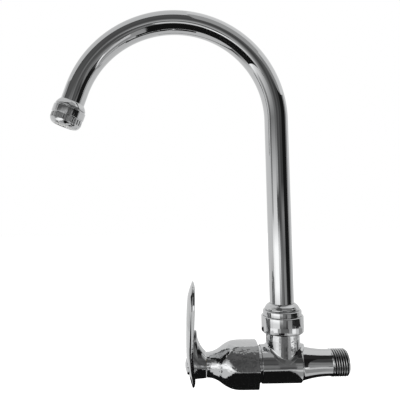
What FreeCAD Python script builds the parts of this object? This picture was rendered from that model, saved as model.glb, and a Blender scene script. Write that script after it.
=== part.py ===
import FreeCAD, Part
import math
import os
import Sketcher

# A wall faucet with a swivelling swan-neck spout and a quarter-turn lever. Millimetres, +Z up.
# The origin is the middle of the inlet's end face, where the wall's elbow takes the thread, and
# +X points into the wall. Three axes carry everything: the valve axis along X, the spout axis
# along Z at spout_offset from the origin, and the nozzle axis at the end of the bent tube.

DIMENSIONS = {
    # Fits: the radial gap of a piece that turns, of one that is screwed or pushed in, and the
    # end play between faces that slide on each other.
    "turning_gap": 0.05,
    "fixed_gap": 0.03,
    "end_play": 0.05,
    # Tee body, along the valve axis from the spout axis.
    "spout_offset": 49.5,
    "barrel_radius": 14.6,
    "barrel_to_valve": 18.4,
    "barrel_to_wall": 12.3,
    "barrel_edge": 0.5,
    "relief_radius": 13.3,
    "relief_width": 2.5,
    "relief_bead": 0.7,
    "valve_neck_radius": 13.0,
    "valve_neck_length": 12.0,
    "wall_neck_radius": 10.0,
    "wall_neck_hollow": 80.0,
    "inlet_thread_radius": 10.4775,
    "inlet_thread_pitch": 1.814,
    "inlet_thread_depth": 1.162,
    "inlet_thread_length": 13.3,
    "inlet_thread_shoulder": 0.7,
    "thread_groove_mouth": 1.6,
    "thread_groove_root": 0.24,
    "inlet_bore_radius": 6.75,
    "chamber_radius": 10.1,
    "seat_to_wall": 9.0,
    # Tee body, up the spout axis.
    "branch_radius": 13.2,
    "branch_height": 24.6,
    "branch_blend": 3.0,
    "branch_thread_radius": 12.6,
    "branch_thread_length": 9.6,
    "branch_bore_radius": 7.5,
    "socket_radius": 10.2,
    "socket_floor": 15.5,
    # Bonnet: a bell turned on the valve axis, cut to a hexagon at its wide end.
    "bonnet_length": 40.5,
    "bonnet_flats": 34.7,
    "bonnet_foot_radius": 9.5,
    "bell_hollow": 18.4,
    "bell_brow": 31.3,
    "bell_slope": 38.0,
    "bonnet_lip": 1.2,
    "bonnet_wall": 3.2,
    "bonnet_bush_length": 8.0,
    "bonnet_face_gap": 0.15,
    # Cartridge, along the valve axis.
    "disc_radius": 8.3,
    "disc_thickness": 3.0,
    "disc_gap": 0.02,
    "disc_port_radius": 6.8,
    "disc_hub_radius": 2.4,
    "disc_port_angle": 80.0,
    "seal_radius": 8.2,
    "seal_bore_radius": 6.2,
    "seal_height": 2.4,
    "cartridge_radius": 9.3,
    "cartridge_window": 8.0,
    "cartridge_window_angle": 84.0,
    "cartridge_flange_flats": 22.0,
    "cartridge_flange": 3.5,
    "cartridge_thread_length": 11.0,
    "cartridge_neck_radius": 7.2,
    "cartridge_neck_length": 14.0,
    "flange_seal_height": 1.0,
    "blade_width": 4.6,
    "blade_depth": 1.4,
    "blade_height": 7.0,
    "spindle_foot_height": 1.6,
    "friction_washer_height": 0.8,
    "spindle_radius": 5.0,
    "stem_radius": 4.0,
    "spline_teeth": 20.0,
    "spline_depth": 0.45,
    "spline_length": 6.5,
    "stop_radius": 6.2,
    "stop_height": 2.2,
    "stop_ear_angle": 80.0,
    "lever_travel": 90.0,
    "stop_clearance_angle": 1.0,
    "circlip_height": 1.0,
    "circlip_radius": 5.6,
    "circlip_groove": 0.6,
    "circlip_angle": 300.0,
    "ring_groove_share": 2.4,
    "spindle_ring_section": 0.9,
    "spindle_ring_first": 19.6,
    "spindle_ring_step": 6.0,
    # Lever.
    "lever_gap": 0.5,
    "hub_radius": 9.9,
    "lever_depth": 15.3,
    "lever_thickness": 4.0,
    "lever_crown": 27.0,
    "lever_top": 65.7,
    "lever_toe": 17.2,
    "lever_crest_height": 12.0,
    "lever_shoulder_height": 50.0,
    "lever_shoulder_setback": 1.2,
    "lever_tip_setback": 5.7,
    "lever_tip_bend": 37.0,
    "lever_tip_back_bend": 111.0,
    "lever_toe_setback": 4.8,
    "lever_edge": 0.6,
    "lever_half_width": 13.5,
    "lever_toe_radius": 10.2,
    "hub_flare": 0.7,
    "web_top": 27.0,
    "web_depth": 7.3,
    "lever_web": 1.4,
    "cap_radius": 7.25,
    "cap_depth": 2.6,
    "cap_thickness": 3.9,
    "cap_edge": 0.35,
    "cap_dome": 0.5,
    "screw_radius": 2.0,
    "screw_length": 11.0,
    "screw_head_radius": 3.8,
    "screw_head_height": 2.0,
    "screw_slot": 0.9,
    "screw_play": 0.2,
    "screw_washer_height": 0.7,
    # Spout tube and the swivel joint, up the spout axis.
    "tube_radius": 9.525,
    "tube_wall": 1.0,
    "arc_height": 195.2,
    "arc_radius": 84.6,
    "arc_angle": 160.0,
    "tail_length": 10.9,
    "slip_washer_height": 0.8,
    "spigot_flange": 2.4,
    "spigot_flange_radius": 12.1,
    "spigot_tongue": 9.0,
    "spigot_bore_radius": 6.6,
    "spigot_floor_gap": 0.6,
    "spout_ring_section": 1.25,
    "spout_ring_first": 20.5,
    "spout_ring_step": 7.5,
    "nut_radius": 16.65,
    "nut_skirt": 13.2,
    "nut_groove": 0.6,
    "nut_band_radius": 15.2,
    "nut_band_height": 3.6,
    "nut_collar_radius": 13.5,
    "nut_collar_height": 2.3,
    "nut_cone_height": 1.9,
    "nut_top_radius": 11.5,
    "nut_lip": 0.8,
    "guide_bush_radius": 10.9,
    "guide_bush_height": 4.0,
    # Nozzle, along its own axis from the collar's first edge.
    "collar_lip_radius": 9.95,
    "collar_radius": 12.3,
    "collar_height": 5.1,
    "collar_socket": 4.0,
    "nozzle_thread_radius": 10.9,
    "nozzle_thread_length": 5.5,
    "nozzle_gap": 0.4,
    "shell_radius": 13.0,
    "shell_band": 6.6,
    "shell_groove": 0.7,
    "shell_grip_radius": 12.6,
    "shell_grip": 4.0,
    "shell_rim": 4.0,
    "shell_rim_bend": 6.0,
    "shell_mouth_radius": 9.9,
    "shell_mouth_bore": 8.3,
    "shell_flutes": 28.0,
    "shell_flute_radius": 0.55,
    "aerator_washer_height": 1.8,
    "washer_overlap": 1.0,
    "jet_plate_height": 1.6,
    "jet_radius": 0.7,
    "jet_circle": 5.4,
    "jet_count": 12.0,
    "screen_height": 0.5,
    "screen_pitch": 1.6,
    "screen_wire": 0.4,
    "straightener_pitch": 2.4,
    "straightener_wall": 0.5,
    "mouth_inset": 0.6,
}

Y_AXIS = FreeCAD.Vector(0, 1, 0)
Z_AXIS = FreeCAD.Vector(0, 0, 1)


class Size:
    """A number and the sheet expression that gives it, so that both are written once."""

    def __init__(self, value, text):
        self.value = value
        self.text = text

    def __add__(self, other):
        other = size(other)
        return Size(self.value + other.value, f"({self.text} + {other.text})")

    def __sub__(self, other):
        other = size(other)
        return Size(self.value - other.value, f"({self.text} - {other.text})")

    def __mul__(self, other):
        other = size(other)
        return Size(self.value * other.value, f"({self.text} * {other.text})")

    def __truediv__(self, other):
        other = size(other)
        return Size(self.value / other.value, f"({self.text} / {other.text})")

    def __neg__(self):
        return Size(-self.value, f"(-1 * {self.text})")

    def __radd__(self, other):
        return size(other) + self

    def __rsub__(self, other):
        return size(other) - self

    def __rmul__(self, other):
        return size(other) * self


def size(number):
    """The number itself as a Size, if it isn't one already."""
    return number if isinstance(number, Size) else Size(float(number), repr(float(number)))


def sine(angle):
    return Size(math.sin(math.radians(angle.value)), f"sin({angle.text} * 1 deg)")


def cosine(angle):
    return Size(math.cos(math.radians(angle.value)), f"cos({angle.text} * 1 deg)")


def arcsine(ratio):
    """The angle in degrees whose sine is given."""
    return Size(math.degrees(math.asin(ratio.value)), f"(asin({ratio.text}) / 1 deg)")


def root(number):
    return Size(math.sqrt(number.value), f"sqrt({number.text})")


def whole(number):
    """The whole number below."""
    return Size(math.floor(number.value), f"floor({number.text})")


class Sizes:
    """The driving dimensions, read as attributes."""

    def __init__(self, doc, dimensions):
        sheet = doc.addObject("Spreadsheet::Sheet", "Sizes")
        for row, (name, number) in enumerate(dimensions.items(), start=1):
            sheet.set(f"A{row}", name)
            sheet.set(f"B{row}", str(number))
            sheet.setAlias(f"B{row}", name)
            setattr(self, name, Size(float(number), f"Sizes.{name}"))


def bind(thing, path, number):
    """Ties a property of a document object to a Size."""
    thing.setExpression(path, size(number).text)


def place(thing, x=0, y=0, z=0, axis=None, angle=0):
    """Places an object: a move by Sizes, after a turn about an axis through its own origin."""
    if axis is not None:
        turn = FreeCAD.Rotation(axis, size(angle).value)
        thing.Placement = FreeCAD.Placement(FreeCAD.Vector(), turn)
        bind(thing, "Placement.Rotation.Angle", angle)
    bind(thing, "Placement.Base.x", x)
    bind(thing, "Placement.Base.y", y)
    bind(thing, "Placement.Base.z", z)


# ---------------------------------------------------------------- sketches and features

def pin_down(sketch, geometry, end, across, up):
    """Fixes one end of a sketch line at a place given by two Sizes."""
    for number, kind, zero_line in ((across, "DistanceX", -2), (up, "DistanceY", -1)):
        number = size(number)
        if number.text in ("0.0", "-0.0"):
            sketch.addConstraint(Sketcher.Constraint("PointOnObject", geometry, end, zero_line))
            continue
        row = sketch.addConstraint(Sketcher.Constraint(kind, -1, 1, geometry, end, number.value))
        if "Sizes" in number.text:
            sketch.setExpression(f"Constraints[{row}]", number.text)


def add_side(sketch, here, there):
    """Adds the side of an outline between two corners, and says which of its ends come first."""
    start = FreeCAD.Vector(size(here[0]).value, size(here[1]).value, 0)
    end = FreeCAD.Vector(size(there[0]).value, size(there[1]).value, 0)
    if len(there) == 2:
        return sketch.addGeometry(Part.LineSegment(start, end), False), 1, 2
    bend = size(there[2])
    half = (end - start) * 0.5
    reach = math.sqrt(bend.value ** 2 - half.Length ** 2)
    towards = FreeCAD.Vector(-half.y, half.x, 0).normalize()
    turns_left = bend.value > 0
    centre = start + half + towards * (reach if turns_left else -reach)
    first, last = (start, end) if turns_left else (end, start)
    from_angle = math.atan2(first.y - centre.y, first.x - centre.x)
    to_angle = math.atan2(last.y - centre.y, last.x - centre.x)
    circle = Part.Circle(centre, Z_AXIS, abs(bend.value))
    side = sketch.addGeometry(Part.ArcOfCircle(circle, from_angle, to_angle), False)
    row = sketch.addConstraint(Sketcher.Constraint("Radius", side, abs(bend.value)))
    sketch.setExpression(f"Constraints[{row}]", (bend if turns_left else -bend).text)
    return (side, 1, 2) if turns_left else (side, 2, 1)


def add_outline(sketch, corners):
    """Draws a closed outline. A corner is (across, up), or (across, up, bend) where the side that
    leads to it is an arc of that radius, positive where it turns left."""
    following = corners[1:] + corners[:1]
    sides = [add_side(sketch, here, there) for here, there in zip(corners, following)]
    for (side, _, last), (after, first, _) in zip(sides, sides[1:] + sides[:1]):
        sketch.addConstraint(Sketcher.Constraint("Coincident", side, last, after, first))
    for (side, first, _), corner in zip(sides, corners):
        pin_down(sketch, side, first, corner[0], corner[1])


def add_circle(sketch, across, up, radius):
    """Adds a circle to a sketch, its centre at a place given by two Sizes."""
    centre = FreeCAD.Vector(size(across).value, size(up).value, 0)
    circle = sketch.addGeometry(Part.Circle(centre, Z_AXIS, radius.value), False)
    row = sketch.addConstraint(Sketcher.Constraint("Radius", circle, radius.value))
    sketch.setExpression(f"Constraints[{row}]", radius.text)
    pin_down(sketch, circle, 3, across, up)


def sketch_on(body, name, role, corners=None, lift=None):
    """A sketch on one of the body's own planes, lifted off it if asked, with a closed outline."""
    sketch = body.newObject("Sketcher::SketchObject", name)
    plane = [item for item in body.Origin.OriginFeatures if item.Role == role][0]
    sketch.AttachmentSupport = [(plane, "")]
    sketch.MapMode = "FlatFace"
    if lift is not None:
        bind(sketch, "AttachmentOffset.Base.z", lift)
    if corners:
        add_outline(sketch, corners)
    return sketch


def turn(body, name, corners, kind="PartDesign::Revolution", about="V_Axis", angle=360):
    """Adds or grooves away the solid that an outline in the XZ plane sweeps about an axis."""
    sketch = sketch_on(body, name + "Outline", "XZ_Plane", corners)
    feature = body.newObject(kind, name)
    feature.Profile = sketch
    feature.ReferenceAxis = (sketch, [about])
    bind(feature, "Angle", angle)
    body.Tip = feature
    return feature


def through_all(body, name, sketch, midplane=True):
    """Cuts a sketch through the whole body, to both sides of its plane."""
    cut = body.newObject("PartDesign::Pocket", name)
    cut.Profile = sketch
    cut.Type = "ThroughAll"
    cut.Midplane = midplane
    body.Tip = cut
    return cut


def turned(doc, name, corners, angle=360):
    """A sub-part that is one turned outline about its own Z axis."""
    body = doc.addObject("PartDesign::Body", name)
    turn(body, name + "Turn", corners, angle=angle)
    return body


def ring(doc, name, inner, outer, low, high):
    """A flat ring between two radii and two heights."""
    return turned(doc, name, [(inner, low), (outer, low), (outer, high), (inner, high)])


def torus(doc, name, mean_radius, section, height):
    """An O-ring of a round section, at a height on its own Z axis."""
    item = doc.addObject("Part::Torus", name)
    bind(item, "Radius1", mean_radius)
    bind(item, "Radius2", section)
    bind(item, "Placement.Base.z", height)
    return item


def cylinder(doc, name, radius, height, low=0, angle=360):
    """A cylinder or sector on its own Z axis."""
    item = doc.addObject("Part::Cylinder", name)
    bind(item, "Radius", radius)
    bind(item, "Height", height)
    bind(item, "Angle", angle)
    bind(item, "Placement.Base.z", low)
    return item


def box(doc, name, length, width, height, x=0, y=0, z=0):
    """A box whose lowest corner is at x, y and z."""
    item = doc.addObject("Part::Box", name)
    bind(item, "Length", length)
    bind(item, "Width", width)
    bind(item, "Height", height)
    bind(item, "Placement.Base.x", x)
    bind(item, "Placement.Base.y", y)
    bind(item, "Placement.Base.z", z)
    return item


def cut(doc, name, base, tool):
    item = doc.addObject("Part::Cut", name)
    item.Base = base
    item.Tool = tool
    return item


def fuse(doc, name, shapes):
    item = doc.addObject("Part::MultiFuse", name)
    item.Shapes = shapes
    return item


def compound(doc, name, shapes):
    """Several solids that share one node."""
    item = doc.addObject("Part::Compound", name)
    item.Links = shapes
    return item


def sector(doc, name, inner, outer, low, height, angle, start=0):
    """A piece of a ring, angle degrees wide from start degrees on."""
    whole = cylinder(doc, name + "Outer", outer, height, low, angle)
    middle = cylinder(doc, name + "Inner", inner, height, low)
    item = cut(doc, name, whole, middle)
    place(item, axis=Z_AXIS, angle=start)
    return item


# ---------------------------------------------------------------- places along the three axes

class Places:
    """Where pieces meet, worked out from the sizes: valve heights count from the spout axis
    towards the lever, spout heights from the valve axis upwards."""

    def __init__(self, s):
        # Valve axis.
        self.wall_neck_end = s.spout_offset - s.inlet_thread_length
        self.bonnet_face = s.barrel_to_valve + s.relief_width
        self.valve_neck_end = self.bonnet_face + s.valve_neck_length
        self.bonnet_end = self.bonnet_face + s.bonnet_length
        self.hub_end = self.bonnet_end + s.lever_gap
        self.lever_front = self.hub_end + s.lever_depth
        self.seat = -s.seat_to_wall
        self.disc_face = self.seat + s.seal_height
        self.disc_joint = self.disc_face + s.disc_thickness
        self.disc_back = self.disc_joint + s.disc_thickness
        self.blade_foot = self.disc_back - s.blade_depth
        self.foot_low = self.disc_back + s.blade_height
        self.foot_high = self.foot_low + s.spindle_foot_height
        self.cartridge_shelf = self.foot_high + s.friction_washer_height + s.end_play * 2
        self.flange_low = self.valve_neck_end + s.flange_seal_height
        self.flange_high = self.flange_low + s.cartridge_flange
        self.cartridge_end = self.flange_high + s.cartridge_neck_length
        self.stop_floor = self.cartridge_end - s.stop_height
        self.circlip_low = self.cartridge_end + s.end_play
        self.circlip_high = self.circlip_low + s.circlip_height
        first_ring = self.cartridge_shelf + s.spindle_ring_first
        self.spindle_rings = [first_ring, first_ring + s.spindle_ring_step]
        self.bush_radius = s.cartridge_neck_radius - s.stem_radius / 4
        self.bonnet_cavity_end = self.bonnet_end - s.bonnet_bush_length
        self.bonnet_ring_floor = s.valve_neck_radius - s.bonnet_lip
        self.bonnet_ring_centre = self.bonnet_face + s.bonnet_lip * 2
        self.spline_low = self.bonnet_end + s.lever_gap / 2
        self.spline_high = self.spline_low + s.spline_length
        self.screw_seat = self.spline_high + s.lever_gap + s.lever_web
        self.screw_end = self.screw_seat + s.screw_washer_height - s.screw_length
        self.cap_floor = self.lever_front - s.cap_depth - s.cap_edge * 2
        # Spout axis.
        self.branch_top = s.branch_height + s.branch_thread_length
        self.flange_under = self.branch_top + s.slip_washer_height + s.end_play
        self.tube_foot = self.flange_under + s.spigot_flange
        self.nut_shelf = self.tube_foot + s.slip_washer_height + s.end_play * 2
        self.nut_foot = s.branch_height + s.end_play * 4
        self.spigot_foot = s.socket_floor + s.spigot_floor_gap
        self.spout_rings = [s.spout_ring_first, s.spout_ring_first + s.spout_ring_step]
        self.nut_top = self.nut_foot + s.nut_skirt + s.nut_groove + s.nut_band_height \
            + s.nut_collar_height + s.nut_cone_height
        # Nozzle: the arc turns the tube by arc_angle, and the tail goes on from there.
        across = s.arc_radius * (1 - cosine(s.arc_angle)) + s.tail_length * sine(s.arc_angle)
        self.nozzle_x = -s.spout_offset - across
        self.nozzle_z = s.arc_height + s.arc_radius * sine(s.arc_angle) \
            + s.tail_length * cosine(s.arc_angle)
        self.stack_low = s.collar_height + s.nozzle_thread_length
        self.jet_low = self.stack_low + s.aerator_washer_height
        self.screen_low = self.jet_low + s.jet_plate_height
        self.straightener_low = self.screen_low + s.screen_height
        self.shell_end = s.collar_height + s.nozzle_gap + s.shell_band + s.shell_groove \
            + s.shell_grip + s.shell_rim
        self.straightener_step = self.shell_end - s.shell_rim + s.nozzle_gap * 2


def on_valve_axis(item, s):
    """Stands a piece's own Z axis on the valve axis, pointing from the spout to the lever."""
    place(item, x=-s.spout_offset, axis=Y_AXIS, angle=-90)


def on_spout_axis(item, s):
    place(item, x=-s.spout_offset)


def on_nozzle_axis(item, s, at):
    """Stands a piece's own Z axis on the nozzle axis, pointing the way the water leaves."""
    place(item, x=at.nozzle_x, z=at.nozzle_z, axis=Y_AXIS, angle=-s.arc_angle)


# ---------------------------------------------------------------- tee body

def blend_edges(solid, s):
    """The edges where the branch runs into the barrel: they lie on both round surfaces."""
    branch, barrel, near = s.branch_radius.value, s.barrel_radius.value, s.fixed_gap.value
    names = []
    for number, edge in enumerate(solid.Shape.Edges, start=1):
        points = edge.discretize(9)
        on_branch = all(abs(math.hypot(p.x, p.y) - branch) < near for p in points)
        on_barrel = all(abs(math.hypot(p.y, p.z) - barrel) < near for p in points)
        if on_branch and on_barrel:
            names.append(f"Edge{number}")
    return names


def tee_body(doc, s, at):
    """The cast tee: a barrel, a neck with the inlet thread, a threaded neck for the bonnet and a
    threaded branch for the spout nut, bored from all three ends."""
    body = doc.addObject("PartDesign::Body", "tee_body")
    bead_side = (s.relief_width - s.relief_bead) / 2
    groove_low = at.bonnet_ring_centre - s.bonnet_lip
    groove_high = at.bonnet_ring_centre + s.bonnet_lip
    groove_floor = at.bonnet_ring_floor
    edge = s.barrel_edge
    turn(body, "Barrel", [
        (-at.valve_neck_end, 0),
        (s.spout_offset, 0),
        (s.spout_offset, s.inlet_thread_radius - s.inlet_thread_depth),
        (s.spout_offset - s.inlet_thread_depth, s.inlet_thread_radius),
        (at.wall_neck_end + edge, s.inlet_thread_radius),
        (at.wall_neck_end, s.wall_neck_radius),
        (s.barrel_to_wall + edge * 2, s.barrel_radius - edge * 3, -s.wall_neck_hollow),
        (s.barrel_to_wall, s.barrel_radius),
        (edge - s.barrel_to_valve, s.barrel_radius),
        (-s.barrel_to_valve, s.barrel_radius - edge),
        (-s.barrel_to_valve, s.relief_radius),
        (-s.barrel_to_valve - bead_side, s.relief_radius),
        (-s.barrel_to_valve - bead_side, s.relief_radius + s.relief_bead),
        (bead_side - at.bonnet_face, s.relief_radius + s.relief_bead),
        (bead_side - at.bonnet_face, s.relief_radius),
        (s.bonnet_face_gap - at.bonnet_face, s.relief_radius),
        (s.bonnet_face_gap - at.bonnet_face, s.valve_neck_radius),
        (-groove_low, s.valve_neck_radius),
        (-groove_low, groove_floor),
        (-groove_high, groove_floor),
        (-groove_high, s.valve_neck_radius),
        (edge - at.valve_neck_end, s.valve_neck_radius),
        (-at.valve_neck_end, s.valve_neck_radius - edge),
    ], about="H_Axis")
    turn(body, "Branch", [
        (0, 0),
        (s.branch_radius, 0),
        (s.branch_radius, s.branch_height),
        (s.branch_thread_radius, s.branch_height),
        (s.branch_thread_radius, at.branch_top - edge),
        (s.branch_thread_radius - edge, at.branch_top),
        (0, at.branch_top),
    ])
    doc.recompute()
    branch = body.Tip
    blend = body.newObject("PartDesign::Fillet", "BranchBlend")
    blend.Base = (branch, blend_edges(branch, s))
    bind(blend, "Radius", s.branch_blend)
    body.Tip = blend
    turn(body, "ValveBore", [
        (-at.valve_neck_end - edge, 0),
        (s.spout_offset + edge, 0),
        (s.spout_offset + edge, s.inlet_bore_radius),
        (s.seat_to_wall, s.inlet_bore_radius),
        (s.seat_to_wall, s.chamber_radius),
        (-at.valve_neck_end - edge, s.chamber_radius),
    ], kind="PartDesign::Groove", about="H_Axis")
    turn(body, "BranchBore", [
        (0, 0),
        (s.branch_bore_radius, 0),
        (s.branch_bore_radius, s.socket_floor),
        (s.socket_radius, s.socket_floor),
        (s.socket_radius, at.branch_top + edge),
        (0, at.branch_top + edge),
    ], kind="PartDesign::Groove")
    inlet_thread(body, s, at)
    on_spout_axis(body, s)
    return body


def inlet_thread(body, s, at):
    """Grooves the inlet at the thread's pitch. Rings stand in for the helix, so that each crest is
    a round wall at the major diameter."""
    crest = s.inlet_thread_radius + s.fixed_gap
    floor = s.inlet_thread_radius - s.inlet_thread_depth
    first = at.wall_neck_end + s.barrel_edge + s.inlet_thread_shoulder + s.thread_groove_mouth / 2
    last = s.spout_offset - s.inlet_thread_depth - s.thread_groove_mouth / 2
    groove = turn(body, "ThreadGroove", [
        (first - s.thread_groove_mouth / 2, crest),
        (first + s.thread_groove_mouth / 2, crest),
        (first + s.thread_groove_root / 2, floor),
        (first - s.thread_groove_root / 2, floor),
    ], kind="PartDesign::Groove", about="H_Axis")
    more_turns = whole((last - first) / s.inlet_thread_pitch)
    thread = body.newObject("PartDesign::LinearPattern", "InletThread")
    thread.Originals = [groove]
    thread.Direction = (groove.Profile[0], ["H_Axis"])
    bind(thread, "Length", more_turns * s.inlet_thread_pitch)
    bind(thread, "Occurrences", more_turns + 1)
    body.Tip = thread


# ---------------------------------------------------------------- bonnet

def bonnet(doc, s, at):
    """The bell nut: an S-shaped outline that ends in a hexagon, with arched faces between."""
    body = doc.addObject("PartDesign::Body", "bonnet")
    low = at.bonnet_face
    slope = s.bell_slope
    waist = at.bonnet_end - s.bell_hollow * sine(slope)
    waist_radius = s.bonnet_foot_radius + s.bell_hollow * (1 - cosine(slope))
    brow = waist - s.bell_brow * sine(slope)
    corner_radius = waist_radius + s.bell_brow * (1 - cosine(slope))
    thread_bore = s.valve_neck_radius + s.fixed_gap
    cavity_end = at.bonnet_cavity_end
    bush_radius = at.bush_radius
    chamfer = s.bonnet_lip
    edge = s.barrel_edge
    turn(body, "Bell", [
        (thread_bore, low),
        (corner_radius - chamfer, low),
        (corner_radius, low + chamfer / 2),
        (corner_radius, brow),
        (waist_radius, waist, s.bell_brow),
        (s.bonnet_foot_radius, at.bonnet_end - edge, -s.bell_hollow),
        (s.bonnet_foot_radius - edge, at.bonnet_end),
        (bush_radius, at.bonnet_end),
        (bush_radius, cavity_end),
        (waist_radius - s.bonnet_wall, waist),
        (thread_bore, at.flange_high + s.bonnet_lip),
    ])
    hexagon = hexagon_frame(body, "HexagonOutline", s.bonnet_flats, corner_radius * 2)
    through_all(body, "Flats", hexagon)
    on_valve_axis(body, s)
    return body


def hexagon_frame(body, name, flats, reach, lift=None):
    """A circle with a hexagonal hole, which cuts a round blank to a hexagon. A flat of the
    hexagon crosses the sketch's own X axis."""
    corner = flats / cosine(size(30)) / 2
    sketch = sketch_on(body, name, "XY_Plane", [
        (corner * cosine(size(turned_by)), corner * sine(size(turned_by)))
        for turned_by in range(30, 390, 60)
    ], lift=lift)
    add_circle(sketch, 0, 0, reach)
    return sketch


# ---------------------------------------------------------------- cartridge

def bow_tie(doc, name, s, low, height, start):
    """The two port sectors of a ceramic disc."""
    ports = [sector(doc, f"{name}{side}", s.disc_hub_radius, s.disc_port_radius, low, height,
                    s.disc_port_angle, start + side * 180)
             for side in range(2)]
    return fuse(doc, name, ports)


def fixed_disc(doc, s, at):
    """The still ceramic disc, with its ports above and below the axis."""
    whole = cylinder(doc, "FixedDiscBlank", s.disc_radius, s.disc_thickness, at.disc_face)
    ports = bow_tie(doc, "FixedPorts", s, at.disc_face, s.disc_thickness, -s.disc_port_angle / 2)
    item = cut(doc, "fixed_disc", whole, ports)
    on_valve_axis(item, s)
    return item


def moving_disc(doc, s, at):
    """The turning ceramic disc: its ports stand a quarter turn away while the tap is shut, and
    the slot in its back takes the spindle's blade."""
    low = at.disc_joint + s.disc_gap
    height = s.disc_thickness - s.disc_gap
    whole = cylinder(doc, "MovingDiscBlank", s.disc_radius, height, low)
    ports = bow_tie(doc, "MovingPorts", s, low, height, 90 - s.disc_port_angle / 2)
    ported = cut(doc, "MovingDiscPorted", whole, ports)
    width = s.blade_width + s.fixed_gap * 2
    slot = box(doc, "BladeSlot", s.disc_radius * 4, width, s.disc_thickness,
               x=-s.disc_radius * 2, y=-width / 2, z=at.blade_foot - s.fixed_gap)
    item = cut(doc, "moving_disc", ported, slot)
    on_valve_axis(item, s)
    return item


def seat_seal(doc, s, at):
    """The rubber ring that seals the cartridge on the seat in the tee."""
    item = ring(doc, "seat_seal", s.seal_bore_radius, s.seal_radius, at.seat, at.disc_face)
    on_valve_axis(item, s)
    return item


def cartridge_body(doc, s, at):
    """The cartridge's brass body: a barrel with two side windows round the discs, a thread that
    screws into the tee, a hexagonal flange, and a neck with the stop for the spindle's ear."""
    body = doc.addObject("PartDesign::Body", "CartridgeTurning")
    thread_radius = s.chamber_radius - s.fixed_gap
    thread_low = at.valve_neck_end - s.cartridge_thread_length
    barrel_bore = s.disc_radius + s.turning_gap
    spindle_bore = s.spindle_radius + s.turning_gap
    barrel_foot = at.seat + s.seal_height / 2
    reach = s.cartridge_flange_flats / cosine(size(30)) / 2
    turn(body, "CartridgeTurn", [
        (barrel_bore, barrel_foot),
        (s.cartridge_radius, barrel_foot),
        (s.cartridge_radius, thread_low),
        (thread_radius, thread_low + s.barrel_edge),
        (thread_radius, at.valve_neck_end),
        (thread_radius - s.flange_seal_height, at.valve_neck_end),
        (thread_radius - s.flange_seal_height, at.flange_low),
        (reach, at.flange_low),
        (reach, at.flange_high),
        (s.cartridge_neck_radius, at.flange_high),
        (s.cartridge_neck_radius, at.cartridge_end),
        (spindle_bore, at.cartridge_end),
        (spindle_bore, at.cartridge_shelf),
        (barrel_bore, at.cartridge_shelf),
    ])
    flats = hexagon_frame(body, "FlangeFlatsOutline", s.cartridge_flange_flats, reach * 2,
                          lift=at.flange_low - s.fixed_gap)
    hexagon = body.newObject("PartDesign::Pocket", "FlangeFlats")
    hexagon.Profile = flats
    bind(hexagon, "Length", s.cartridge_flange + s.fixed_gap * 2)
    hexagon.Reversed = True
    body.Tip = hexagon
    half = s.cartridge_radius * sine(s.cartridge_window_angle / 2)
    window_low = at.disc_back - s.turning_gap
    windows = sketch_on(body, "WindowOutline", "YZ_Plane", [
        (-half, window_low),
        (half, window_low),
        (half, window_low + s.cartridge_window),
        (-half, window_low + s.cartridge_window),
    ])
    through_all(body, "Windows", windows)
    notch = sector(doc, "StopNotch", s.stem_radius, s.stop_radius + s.turning_gap,
                   at.stop_floor, s.stop_height + s.fixed_gap,
                   s.stop_ear_angle + s.lever_travel + s.stop_clearance_angle * 2,
                   start=-s.stop_ear_angle / 2 - s.stop_clearance_angle)
    item = cut(doc, "cartridge_body", body, notch)
    on_valve_axis(item, s)
    return item


def spline_prism(doc, name, s, grow, low, length):
    """The toothed end that the spindle and the lever share, grown by a gap for the lever."""
    teeth = round(s.spline_teeth.value)
    tip = s.stem_radius.value + grow.value
    root = tip - s.spline_depth.value
    corners = []
    for step in range(teeth * 2):
        reach = tip if step % 2 == 0 else root
        angle = math.pi * step / teeth
        corners.append(FreeCAD.Vector(reach * math.cos(angle), reach * math.sin(angle), 0))
    face = Part.Face(Part.makePolygon(corners + corners[:1]))
    item = doc.addObject("Part::Feature", name)
    item.Shape = face.extrude(Z_AXIS * length.value)
    bind(item, "Placement.Base.z", low)
    return item


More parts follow.
